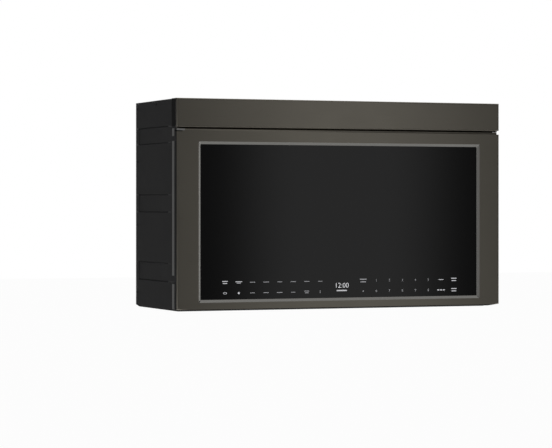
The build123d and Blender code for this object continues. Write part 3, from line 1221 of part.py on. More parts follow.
def make_hinge_leaf(height):
    """Forked leaf on the door back panel that holds the hinge pin above and below the arm."""
    web_front = DOOR_RETURN - 3
    z = (height - TAB_OUTER, height + TAB_OUTER)
    points = (
        (PIVOT_X - 8, PIVOT_DEPTH - 3.3),
        (PIVOT_X - 3.3, PIVOT_DEPTH - 8),
        (POCKET_EDGE + 20, web_front - 8),
        (POCKET_EDGE + 20, DOOR_RETURN),
        (POCKET_EDGE + 1, DOOR_RETURN),
        (PIVOT_X - 3.3, PIVOT_DEPTH + 8),
        (PIVOT_X - 8, PIVOT_DEPTH + 3.3),
    )
    leaf = block((POCKET_EDGE + 1, POCKET_EDGE + 20), (web_front, DOOR_RETURN), z)
    hole = HINGE_PIN_RADIUS + PRESSED_CLEARANCE
    for low in (height - TAB_OUTER, height + TAB_INNER):
        leaf += plan_plate(points, low, low + HINGE_TAB_THICKNESS)
    return leaf - rod(PIVOT_X, PIVOT_DEPTH, height - TAB_OUTER, hole, 2 * TAB_OUTER)


def make_hinge_pin(height):
    """Headed pin through the leaf and the bush."""
    low = height - TAB_OUTER - 1.5
    shank = rod(PIVOT_X, PIVOT_DEPTH, low, HINGE_PIN_RADIUS, 2 * TAB_OUTER + 1.5)
    return shank + prism(PIVOT_X, PIVOT_DEPTH, height + TAB_OUTER, HINGE_PIN_RADIUS + 2, 1.6)


# ---- Latch -------------------------------------------------------------------------------------
def make_hook(height, width):
    """Latch hook with a sloped nose that drops behind the catch."""
    root = LATCH_BAR_FRONT + LATCH_BAR_DEPTH
    low = height - HOOK_HEIGHT / 2
    nose_start = CATCH_BACK + 0.8
    points = (
        (root, low),
        (nose_start, low),
        (nose_start, low - HOOK_NOSE),
        (nose_start + 3, low - HOOK_NOSE),
        (HOOK_TIP, low + 1),
        (HOOK_TIP, height + HOOK_HEIGHT / 2),
        (root, height + HOOK_HEIGHT / 2),
    )
    left = LATCH_X - HOOK_THICKNESS / 2
    return side_plate(points, (left, left + width))


def make_latch_bar():
    """Sliding bar in the door with an upper and a lower hook."""
    half = LATCH_BAR_WIDTH / 2
    bar = block(
        (LATCH_X - half, LATCH_X + half),
        (LATCH_BAR_FRONT, LATCH_BAR_FRONT + LATCH_BAR_DEPTH),
        (LOWER_HOOK_HEIGHT - LATCH_BAR_OVERRUN, UPPER_HOOK_HEIGHT + LATCH_BAR_OVERRUN),
    )
    bar -= block(
        (LATCH_X - half + 2.5, LATCH_X + half - 2.5),
        (LATCH_BAR_FRONT, LATCH_BAR_FRONT + LATCH_BAR_DEPTH - 3),
        (LOWER_HOOK_HEIGHT + 12, UPPER_HOOK_HEIGHT - 12),
    )
    wing = HOOK_THICKNESS + SWITCH_PITCH
    lower = make_hook(LOWER_HOOK_HEIGHT, HOOK_THICKNESS)
    left = LATCH_X - HOOK_THICKNESS / 2
    tip = block(
        (left, left + wing),
        (HOOK_TIP - 4, HOOK_TIP),
        (LOWER_HOOK_HEIGHT - 1, LOWER_HOOK_HEIGHT + HOOK_HEIGHT / 2),
    )
    return bar.fuse(make_hook(UPPER_HOOK_HEIGHT, HOOK_THICKNESS), lower, tip)


def make_latch_guides():
    """Two channels on the door back panel that the latch bar slides in, and the spring anchor."""
    half = LATCH_BAR_WIDTH / 2 + SEAT_CLEARANCE
    front = LATCH_BAR_FRONT - SEAT_CLEARANCE
    back = LATCH_BAR_FRONT + LATCH_BAR_DEPTH + SEAT_CLEARANCE
    guides = []
    for height in (LOWER_HOOK_HEIGHT + 30, UPPER_HOOK_HEIGHT - 30):
        z = (height - 9, height + 9)
        guide = block((LATCH_X - half - 3, LATCH_X + half + 3), (front - 2, DOOR_RETURN), z)
        guides.append(guide - block((LATCH_X - half, LATCH_X + half), (front, back), z))
    low = LOWER_HOOK_HEIGHT - LATCH_BAR_OVERRUN - SPRING_LENGTH
    guides.append(block((LATCH_X - 8, LATCH_X + 8), (LATCH_BAR_FRONT, DOOR_RETURN), (low - 4, low)))
    return guides


def make_latch_spring():
    """Spring that draws the latch bar down."""
    low = LOWER_HOOK_HEIGHT - LATCH_BAR_OVERRUN - SPRING_LENGTH
    return prism(LATCH_X, LATCH_BAR_FRONT + LATCH_BAR_DEPTH / 2, low, 3, SPRING_LENGTH)


def make_interlock_bracket():
    """Moulded bracket behind the front frame with both catches and the switch rail."""
    left = LATCH_X - 16
    right = LATCH_X + SWITCH_PITCH + SWITCH_WIDTH / 2 + 6
    z = (LOWER_HOOK_HEIGHT - 26, UPPER_HOOK_HEIGHT + 26)
    back = SWITCH_BACK + 4
    wall = block((left, left + 3), (FRAME_BACK, back), z)
    rail = block((left, right), (SWITCH_BACK, back), z)
    ends = [block((left, right), (FRAME_BACK, back), (low, low + 3)) for low in (z[0], z[1] - 3)]
    catches = []
    for height in (LOWER_HOOK_HEIGHT, UPPER_HOOK_HEIGHT):
        top = height - HOOK_HEIGHT / 2 - SEAT_CLEARANCE
        catches.append(block((left, right), (FRAME_BACK, CATCH_BACK), (top - 8, top)))
    return wall.fuse(rail, *ends, *catches)


def make_switch(x, height):
    """Snap switch with a bore for its plunger."""
    half = SWITCH_WIDTH / 2
    z = (height - SWITCH_LENGTH / 2, height + SWITCH_LENGTH / 2)
    body = block((x - half, x + half), (SWITCH_FRONT, SWITCH_BACK), z)
    half = PLUNGER_SIDE / 2 + RUNNING_CLEARANCE
    middle = height + PLUNGER_RISE
    depth = (SWITCH_FRONT, SWITCH_FRONT + SWITCH_BORE_DEPTH)
    return body - block((x - half, x + half), depth, (middle - half, middle + half))


def make_plunger(x, height):
    """Switch plunger that the tip of a hook presses in."""
    half = PLUNGER_SIDE / 2
    middle = height + PLUNGER_RISE
    depth = (PLUNGER_FRONT, PLUNGER_FRONT + PLUNGER_LENGTH)
    return block((x - half, x + half), depth, (middle - half, middle + half))


# ---- Small pieces ------------------------------------------------------------------------------
SPRING_LENGTH = 24.0
PLUNGER_RISE = 1.5  # plungers stand a little above the middle of the hook
OVEN_LAMP_HEIGHT = OVEN_TOP - 24
LAMP_BOX_DEPTH = 84.0
GLAND_X = BAY_RIGHT - GLAND_FROM_BAY_WALL
GLAND_DEPTH = PANEL_FRONT - GLAND_FROM_BACK


def make_cavity_lamp():
    """Lamp holder on the right wall of the oven."""
    half = LAMP_WINDOW / 2 + 6
    return block(
        (BAY_LEFT, BAY_LEFT + 22),
        (LAMP_BOX_DEPTH - half, LAMP_BOX_DEPTH + half),
        (OVEN_LAMP_HEIGHT - 12, OVEN_LAMP_HEIGHT + 12),
    )


def make_cutout(x, depth):
    """Disc thermal cut-out with its two tabs on top of the oven."""
    bottom = OVEN_TOP + OVEN_SHEET
    disc = prism(x, depth, bottom, 8, 7)
    flange = block((x - 12, x + 12), (depth - 5, depth + 5), (bottom, bottom + 1))
    tabs = []
    for at in (x - 4, x + 4):
        tabs.append(block((at - 0.5, at + 0.5), (depth - 3, depth + 3), (bottom + 7, bottom + 14)))
    return disc.fuse(flange, *tabs)


def make_cord_gland():
    """Bush for the supply cord in the top cover."""
    groove = OVERALL_HEIGHT - GLAND_HEIGHT
    body = rod(GLAND_X, GLAND_DEPTH, groove, GLAND_RADIUS - PRESSED_CLEARANCE, GLAND_HEIGHT)
    collar = prism(GLAND_X, GLAND_DEPTH, groove, GLAND_RADIUS + 5, GLAND_HEIGHT - CASE_SHEET, sides=6)
    return body + collar - rod(GLAND_X, GLAND_DEPTH, groove, CORD_RADIUS, GLAND_HEIGHT)


def build():
    """Make every sub-part."""
    keep("side_panel_left", make_side_panel(-1))
    keep("side_panel_right", make_side_panel(1))
    keep("top_cover", make_top_cover())
    keep("back_panel", make_back_panel())
    keep("base_pan", make_base_pan())
    keep("front_frame", make_front_frame())
    keep("inner_floor", make_inner_floor())
    keep("bay_wall", make_bay_wall())
    keep("vent_deck", make_vent_deck())
    keep("oven_cavity", make_oven_cavity())
    keep("ceramic_floor", make_ceramic_floor())
    keep("antenna_box", make_antenna_box())
    keep("waveguide", make_waveguide())
    keep("stirrer_motor", make_stirrer_motor())
    keep("stirrer_antenna", make_stirrer_antenna())
    keep("magnetron", make_magnetron())
    keep("hv_transformer", make_transformer())
    keep("hv_capacitor", make_capacitor())
    keep("cooling_fan_shroud", make_cooling_shroud())
    keep("cooling_fan_motor", make_cooling_motor())
    keep("cooling_fan_shaft", make_cooling_shaft())
    keep("cooling_fan_blade", make_cooling_blade())
    keep("control_board", make_control_board())
    keep("line_filter_board", make_line_filter())
    keep("touch_board", make_touch_board())
    keep("display_module", make_display_module())
    keep("blower_scrolls", make_scroll(-1), make_scroll(1))
    keep("blower_wheels", make_blower_wheel(-1), make_blower_wheel(1))
    keep("blower_motor", make_blower_motor())
    keep("blower_shaft", make_blower_shaft())
    keep("charcoal_filter", make_charcoal_filter())
    keep("vent_louvre", make_vent_louvre())
    keep("grease_filter_left", make_grease_filter(-1))
    keep("grease_filter_right", make_grease_filter(1))
    keep("cooktop_lamp_lenses", make_lamp_lens(-1), make_lamp_lens(1))
    keep("cooktop_lamp_housings", make_lamp_housing(-1), make_lamp_housing(1))
    keep("vent_fascia", make_vent_fascia())
    keep("fascia_end_caps", make_fascia_cap(-1), make_fascia_cap(1))
    keep("door_skin", make_door_skin())
    keep("door_glass", make_door_glass())
    keep("door_back_panel", make_door_back_panel())
    keep("door_choke", make_door_choke())
    keep("door_screen", make_door_screen())
    keep("door_inner_pane", make_inner_pane())
    keep("choke_cover", make_choke_cover())
    keep("hinge_arms", *[make_hinge_arm(height) for height, _ in HINGES])
    keep("hinge_bushes", *[make_hinge_bush(height) for height, _ in HINGES])
    keep("hinge_leaves", *[make_hinge_leaf(height) for height, _ in HINGES])
    keep("hinge_pins", *[make_hinge_pin(height) for height, _ in HINGES])
    keep("latch_bar", make_latch_bar())
    keep("latch_guides", *make_latch_guides())
    keep("latch_spring", make_latch_spring())
    keep("interlock_bracket", make_interlock_bracket())
    keep("interlock_switches", *[make_switch(x, z) for x, z in SWITCHES])
    keep("switch_plungers", *[make_plunger(x, z) for x, z in SWITCHES])
    keep("cavity_lamp", make_cavity_lamp())
    keep(
        "thermal_cutouts",
        make_cutout(STIRRER_X, STIRRER_DEPTH - CUTOUT_STEP),
        make_cutout(STIRRER_X + CUTOUT_SPREAD, STIRRER_DEPTH + CUTOUT_STEP),
    )
    keep("cord_gland", make_cord_gland())


build()
os.makedirs("parts", exist_ok=True)
for name, shape in STEPS.items():
    export_step(shape, f"parts/{name}.step")
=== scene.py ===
"""Looks of an over the range microwave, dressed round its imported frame.

Lengths are metres in the frame's own axes: X to the right, Y towards the wall, Z up. Sheet metal is softened
from the frame's own meshes, printed legends and small fasteners are added, and every surface gets its finish.
"""

import logging
import math
from dataclasses import dataclass
from enum import Enum
from typing import Callable, Iterable, Union

import bmesh
import bpy
from mathutils import Matrix, Vector


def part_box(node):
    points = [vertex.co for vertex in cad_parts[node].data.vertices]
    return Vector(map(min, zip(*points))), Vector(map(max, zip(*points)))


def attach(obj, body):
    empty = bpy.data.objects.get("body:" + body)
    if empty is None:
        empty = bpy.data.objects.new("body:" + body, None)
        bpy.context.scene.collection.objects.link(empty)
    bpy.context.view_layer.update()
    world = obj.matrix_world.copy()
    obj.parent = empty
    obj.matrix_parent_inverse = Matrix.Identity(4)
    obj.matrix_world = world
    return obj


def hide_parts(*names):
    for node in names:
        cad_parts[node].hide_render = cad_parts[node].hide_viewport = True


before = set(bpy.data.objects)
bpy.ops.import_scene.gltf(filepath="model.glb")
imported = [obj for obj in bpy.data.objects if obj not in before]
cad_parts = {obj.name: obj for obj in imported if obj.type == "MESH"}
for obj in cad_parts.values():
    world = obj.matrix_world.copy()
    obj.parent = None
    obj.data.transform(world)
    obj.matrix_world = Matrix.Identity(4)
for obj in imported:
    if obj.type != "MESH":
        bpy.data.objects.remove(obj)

LOG = logging.getLogger("microwave_looks")
MM = 0.001
WHITE = (1.0, 1.0, 1.0, 1.0)
GLASS_INDEX = 1.5
FRONT_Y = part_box("door_skin")[0].y

BMesh = bmesh.types.BMesh
Object = bpy.types.Object
Colour = tuple[float, float, float]
Operand = Union["Signal", float]
Span = tuple[float, float]


# ---- Shader maths --------------------------------------------------------------------------------
def maths(operation: str, swapped: bool = False) -> Callable[["Signal", Operand], "Signal"]:
    """Return a Signal method that adds one Math node.

    Args:
        operation: the node's operation.
        swapped: whether the other operand comes first.

    Returns:
        The method, which takes the other operand.
    """

    def method(self: "Signal", other: Operand) -> "Signal":
        """Return the operation's result on self and other."""
        first, second = (other, self) if swapped else (self, other)
        return self.graph.node("Math", {"operation": operation}, {0: first, 1: second})

    return method


class Signal:
    """A node's output socket that can be used in arithmetic."""

    def __init__(self, graph: "Graph", socket: bpy.types.NodeSocket) -> None:
        """Keep the socket and the graph that its maths nodes go into."""
        self.graph = graph
        self.socket = socket

    __add__, __radd__ = maths("ADD"), maths("ADD", swapped=True)
    __sub__, __rsub__ = maths("SUBTRACT"), maths("SUBTRACT", swapped=True)
    __mul__, __mod__ = maths("MULTIPLY"), maths("FLOORED_MODULO")
    __lt__, __gt__ = maths("LESS_THAN"), maths("GREATER_THAN")
    power, least, most = maths("POWER"), maths("MINIMUM"), maths("MAXIMUM")


class Graph:
    """The node tree of one material or of the world."""

    def __init__(self, tree: bpy.types.NodeTree) -> None:
        """Start from an empty tree."""
        tree.nodes.clear()
        self.tree = tree

    def node(self, kind: str, settings: dict, inputs: dict, output: Union[int, str] = 0) -> Signal:
        """Add one shader node.

        Args:
            kind: the node's type without its ShaderNode prefix.
            settings: properties set first; "stops" holds a ramp's (place, colour) pairs.
            inputs: values or signals for its sockets, by name or number.
            output: the socket that the returned signal reads.

        Returns:
            The signal of the chosen output.
        """
        made = self.tree.nodes.new("ShaderNode" + kind)
        for name, value in settings.items():
            if name == "stops":
                self._set_stops(made.color_ramp, value)
            else:
                setattr(made, name, value)
        for name, value in inputs.items():
            if isinstance(value, Signal):
                self.tree.links.new(value.socket, made.inputs[name])
            else:
                made.inputs[name].default_value = value
        return Signal(self, made.outputs[output])

    @staticmethod
    def _set_stops(ramp: bpy.types.ColorRamp, stops: list[tuple[float, Colour]]) -> None:
        """Give a colour ramp its stops.

        Args:
            ramp: the ramp.
            stops: pairs of a place and a colour.
        """
        while len(ramp.elements) < len(stops):
            ramp.elements.new(1.0)
        for element, (place, colour) in zip(ramp.elements, stops):
            element.position = place
            element.color = (*colour, 1.0)

    def place(self) -> Signal:
        """Return the Object coordinates, which are the frame's own."""
        return self.node("TexCoord", {}, {}, "Object")

    def stretched(self, scale: Colour) -> Signal:
        """Return the Object coordinates times a scale for each axis."""
        return self.node("Mapping", {"vector_type": "POINT"}, {"Vector": self.place(), "Scale": scale})

    def axes(self) -> tuple[Signal, Signal, Signal]:
        """Split the Object coordinates.

        Returns:
            Their X, Y and Z.
        """
        split = self.node("SeparateXYZ", {}, {0: self.place()}, "X")
        sockets = split.socket.node.outputs
        return split, Signal(self, sockets["Y"]), Signal(self, sockets["Z"])

    def noise(self, scale: Union[float, Colour], detail: float = 2.0, rough: float = 0.5) -> Signal:
        """Add noise.

        Args:
            scale: its cycles per metre, for all axes or for each of them.
            detail: the octaves.
            rough: the share of each octave in the one before.

        Returns:
            The noise, from 0 to 1.
        """
        scales = scale if isinstance(scale, tuple) else (scale,) * 3
        settings = {"noise_dimensions": "3D", "normalize": True}
        inputs = {"Vector": self.stretched(scales), "Scale": 1.0, "Detail": detail, "Roughness": rough}
        return self.node("TexNoise", settings, inputs)

    def cells(self, scale: float, feature: str = "F1", output: Union[int, str] = "Distance") -> Signal:
        """Return a Voronoi pattern with a number of cells per metre."""
        settings = {"voronoi_dimensions": "3D", "feature": feature}
        return self.node("TexVoronoi", settings, {"Vector": self.place(), "Scale": scale}, output)

    def blend(self, factor: Operand, first: Union[Signal, Colour], second: Union[Signal, Colour]) -> Signal:
        """Mix two colours.

        Args:
            factor: the share of the second colour.
            first: the first colour.
            second: the second colour.

        Returns:
            The mixed colour.
        """
        colours = [c if isinstance(c, Signal) else (*c, 1.0) for c in (first, second)]
        settings = {"data_type": "RGBA", "clamp_factor": True}
        return self.node("Mix", settings, {0: factor, 6: colours[0], 7: colours[1]}, 2)

    def relief(self, height: Signal, depth: float) -> Signal:
        """Return a normal bumped by a height, whose full swing stands for a depth in metres."""
        return self.node("Bump", {}, {"Height": height, "Distance": depth, "Strength": 1.0})

    def surface(self, **sockets: Union[Operand, Colour, Signal]) -> None:
        """Finish the tree with a Principled shader.

        Args:
            sockets: values or signals by the socket's name, with _ for a space.
        """
        named = {name.replace("_", " "): value for name, value in sockets.items()}
        for name in ("Base Color", "Emission Color"):
            if name in named and not isinstance(named[name], Signal):
                named[name] = (*named[name], 1.0)
        self.node_output(self.node("BsdfPrincipled", {}, named))

    def node_output(self, shader: Signal) -> None:
        """Wire a shader to the material output."""
        made = self.tree.nodes.new("ShaderNodeOutputMaterial")
        self.tree.links.new(shader.socket, made.inputs["Surface"])


# ---- Finishes ------------------------------------------------------------------------------------
def scaled(colour: Colour, factor: float, lift: float = 0.0) -> Colour:
    """Return a colour times a factor plus a lift, at most white."""
    return tuple(min(1.0, channel * factor + lift) for channel in colour)


@dataclass(frozen=True)
class Finish:
    """A surface finish: its material's name, the record's slot that it belongs to (not used here) and its
    main values.

    The colour drifts towards itself times the first value of tint plus the second, the roughness drifts by
    swing, and depth is the height of the relief.
    """

    name: str
    slot: str
    colour: Colour
    roughness: float = 0.5
    tint: Span = (1.0, 0.0)
    swing: float = 0.1
    depth: float = 0.0

    def material(self) -> bpy.types.Material:
        """Make the finish's material on first use; the frame's own plain ones have the bare names.

        Returns:
            The material.
        """
        title = self.name + "_finish"
        made = bpy.data.materials.get(title)
        if made is None:
            made = bpy.data.materials.new(title)
            made.use_nodes = True
            made.diffuse_color = (*self.colour, 1.0)
            self.fill(Graph(made.node_tree))
        return made

    def fill(self, graph: Graph) -> None:
        """Write the finish's nodes.

        Args:
            graph: an empty graph.
        """
        tone, wear, height = self.patterns(graph)
        graph.surface(
            Base_Color=self.tinted(graph, tone),
            Roughness=self.worn(wear),
            Normal=graph.relief(height, self.depth),
            **self.sockets(),
        )

    def patterns(self, graph: Graph) -> tuple[Signal, Signal, Signal]:
        """Return the patterns of the colour, the roughness and the relief."""
        raise NotImplementedError

    def sockets(self) -> dict[str, float]:
        """Return the values of the shader's other sockets."""
        return {}

    def tinted(self, graph: Graph, amount: Signal) -> Signal:
        """Return the colour with its tint mixed in by an amount."""
        return graph.blend(amount, self.colour, scaled(self.colour, *self.tint))

    def worn(self, signal: Signal) -> Signal:
        """Return the roughness, moved by a signal round 0.5."""
        return self.roughness + (signal - 0.5) * self.swing


@dataclass(frozen=True)
class BrushedSheet(Finish):
    """Metal with a fine straight grain; grain holds the cycles per metre along each axis."""

    depth: float = 0.004 * MM
    grain: Colour = (9.0, 900.0, 5200.0)
    drift: float = 0.05
    streaks: float = 0.22
    smudges: float = 0.05

    def fill(self, graph: Graph) -> None:
        """Write grain, slow colour drift and smudged roughness.

        Args:
            graph: an empty graph.
        """
        grain = graph.noise(self.grain, 3.0, 0.6)
        smudge = graph.noise((21.0, 21.0, 34.0), 3.0)
        bright, dark = scaled(self.colour, 1 + self.drift), scaled(self.colour, 1 - self.drift)
        tone = graph.blend(graph.noise((7.0, 7.0, 5.0)), dark, bright)
        graph.surface(
            Base_Color=graph.blend(grain * self.streaks, tone, dark),
            Metallic=1.0,
            Roughness=self.worn(grain) + (smudge - 0.5) * self.smudges,
            Normal=graph.relief(grain, self.depth),
        )


@dataclass(frozen=True)
class PowderCoat(Finish):
    """Baked paint with a fine orange peel."""

    tint: Span = (1.18, 0.001)
    swing: float = 0.12
    depth: float = 0.012 * MM
    peel: float = 900.0
    gloss: float = 0.3

    def patterns(self, graph: Graph) -> tuple[Signal, Signal, Signal]:
        """Return a slow drift for the tone and the dust, and the peel."""
        slow = graph.noise(6.0, 3.0)
        return slow, slow, graph.noise(self.peel)

    def sockets(self) -> dict[str, float]:
        """Return the gloss."""
        return {"Specular_IOR_Level": self.gloss}


@dataclass(frozen=True)
class Spangle(Finish):
    """Galvanised sheet with crystal spangle."""

    swing: float = 0.16
    depth: float = 0.01 * MM
    crystals: float = 140.0
    darkest: float = 0.72
    wipe: float = 0.08

    def fill(self, graph: Graph) -> None:
        """Write crystals that differ in tone and roughness.

        Args:
            graph: an empty graph.
        """
        crystal = graph.cells(self.crystals, output="Color")
        tone = graph.node("RGBToBW", {}, {0: crystal})
        soft = graph.noise(45.0)
        graph.surface(
            Base_Color=graph.blend(tone, scaled(self.colour, self.darkest), self.colour),
            Metallic=1.0,
            Roughness=self.worn(tone) + (soft - 0.5) * self.wipe,
            Normal=graph.relief(soft, self.depth),
        )


@dataclass(frozen=True)
class Enamel(Finish):
    """Baked oven enamel with fine light speckles."""

    tint: Span = (1.8, 0.0)
    depth: float = 0.02 * MM
    specks: float = 620.0
    speck_share: float = 0.55

    def patterns(self, graph: Graph) -> tuple[Signal, Signal, Signal]:
        """Return fine specks, slow wear and an even coat."""
        stops = {"stops": [(0.10, (1, 1, 1)), (0.24, (0, 0, 0))]}
        speck = graph.node("ValToRGB", stops, {0: graph.cells(self.specks)})
        return speck * self.speck_share, graph.noise(9.0), graph.noise(420.0)


@dataclass(frozen=True)
class Moulded(Finish):
    """Moulded plastic or rubber with a spark-eroded texture."""

    tint: Span = (1.12, 0.002)
    swing: float = 0.14
    depth: float = 0.02 * MM
    texture: float = 1300.0
    gloss: float = 0.5

    def patterns(self, graph: Graph) -> tuple[Signal, Signal, Signal]:
        """Return a slight drift of the tone, and the mould's texture for the rest."""
        spark = graph.noise(self.texture, 3.0, 0.6)
        return graph.noise(16.0), spark, spark

    def sockets(self) -> dict[str, float]:
        """Return the gloss."""
        return {"Specular_IOR_Level": self.gloss}


@dataclass(frozen=True)
class DarkGlass(Finish):
    """Door glass, tinted so dark that only its gloss shows."""

    tint: Span = (1.25, 0.0)
    swing: float = 0.03
    depth: float = 0.02 * MM

    def patterns(self, graph: Graph) -> tuple[Signal, Signal, Signal]:
        """Return the film of a wiped pane and its faint waves."""
        film = graph.noise((5.0, 5.0, 14.0), 4.0)
        return film, film, graph.noise(3.2, 1.0)

    def sockets(self) -> dict[str, float]:
        """Return the refraction of glass."""
        return {"IOR": GLASS_INDEX}


@dataclass(frozen=True)
class ClearPane(Finish):
    """Clear glass or a frosted lens; clarity is the share of light that it lets through."""

    tint: Span = (1.04, 0.0)
    swing: float = 0.04
    clarity: float = 0.9

    def patterns(self, graph: Graph) -> tuple[Signal, Signal, Signal]:
        """Return wiped smears and the frost."""
        smear = graph.noise((18.0, 18.0, 30.0), 3.0)
        return smear, smear, graph.noise(1500.0, 1.0)

    def sockets(self) -> dict[str, float]:
        """Return the clarity and the refraction of glass."""
        return {"Transmission_Weight": self.clarity, "IOR": GLASS_INDEX}


@dataclass(frozen=True)
class CeramicPlate(Finish):
    """Opaque glass ceramic with a faint grit."""

    tint: Span = (0.78, 0.0)
    swing: float = 0.06
    depth: float = 0.004 * MM

    def patterns(self, graph: Graph) -> tuple[Signal, Signal, Signal]:
        """Return the grit under a glossy face, with slow wear."""
        grit, slow = graph.noise(1500.0), graph.noise(8.0)
        return grit * 0.5 + slow * 0.3, slow, grit


@dataclass(frozen=True)
class HoledSheet(Finish):
    """Thin sheet punched all over with a staggered pattern of small round holes."""

    tint: Span = (1.3, 0.0)
    pitch: float = 2.4 * MM
    hole: float = 0.75 * MM

    def fill(self, graph: Graph) -> None:
        """Write the holes into Alpha, over a painted sheet.

        Args:
            graph: an empty graph.
        """
        x, _, z = graph.axes()
        row = self.pitch * math.sqrt(3)
        first, second = self.spot(x, z, row), self.spot(x + self.pitch / 2, z + row / 2, row)
        graph.surface(
            Base_Color=self.tinted(graph, graph.noise(60.0)),
            Roughness=self.worn(graph.noise(300.0)),
            Alpha=first.least(second) > self.hole,
        )

    def spot(self, x: Signal, z: Signal, row: float) -> Signal:
        """Measure how far a place is from the holes of one lattice.

        Args:
            x, z: the place.
            row: the height of the lattice's rows.

        Returns:
            The distance to the nearest hole's centre.
        """
        across = (x % self.pitch) - self.pitch / 2
        along = (z % row) - row / 2
        return (across * across + along * along).power(0.5)


@dataclass(frozen=True)
class Laminate(Finish):
    """Stack of stamped laminations or rolled layers along one axis."""

    tint: Span = (1.9, 0.02)
    swing: float = 0.2
    depth: float = 0.05 * MM
    layers: Colour = (0.0, 2000.0, 0.0)

    def patterns(self, graph: Graph) -> tuple[Signal, Signal, Signal]:
        """Return the edges of the layers, three times."""
        return (graph.noise(self.layers, 1.0),) * 3

    def sockets(self) -> dict[str, float]:
        """Return the share of metal."""
        return {"Metallic": 0.6}


@dataclass(frozen=True)
class BoardMask(Finish):
    """Circuit board with copper tracks under its solder mask."""

    tint: Span = (1.9, 0.01)
    depth: float = 0.03 * MM
    track: float = 0.07

    def patterns(self, graph: Graph) -> tuple[Signal, Signal, Signal]:
        """Return tracks that are a little lighter than the mask, with their wear and height."""
        on_track = graph.cells(260.0, "DISTANCE_TO_EDGE") < self.track
        return on_track, graph.noise(80.0), on_track


@dataclass(frozen=True)
class Granules(Finish):
    """Bed of charcoal grains held in a frame."""

    swing: float = 0.2
    depth: float = 0.9 * MM
    grains: float = 420.0
    lightest: float = 2.2

    def fill(self, graph: Graph) -> None:
        """Write rounded grains, with painted highlight on their crests and painted shade in the crevices
        between them.

        Args:
            graph: an empty graph.
        """
        grain = graph.cells(self.grains)
        graph.surface(
            # Painted light: the colour follows the grains' height, lighter on the crests and darker in the
            # crevices between them.
            Base_Color=graph.blend(grain, scaled(self.colour, self.lightest), self.colour),
            Roughness=self.roughness + grain * self.swing,
            Normal=graph.relief(1.0 - grain, self.depth),
        )


@dataclass(frozen=True)
class LitPrint(Finish):
    """Legend or digit that is lit from behind through the dark glass."""

    glow: float = 0.5
    unlit: float = 0.4
    dimmest: float = 0.86

    def fill(self, graph: Graph) -> None:
        """Write an even glow with a little unevenness of its light guide.

        Args:
            graph: an empty graph.
        """
        guide = graph.noise(240.0, 1.0)
        graph.surface(
            Base_Color=scaled(self.colour, self.unlit),
            Roughness=self.roughness,
            Emission_Color=graph.blend(guide, scaled(self.colour, self.dimmest), self.colour),
            Emission_Strength=self.glow,
        )


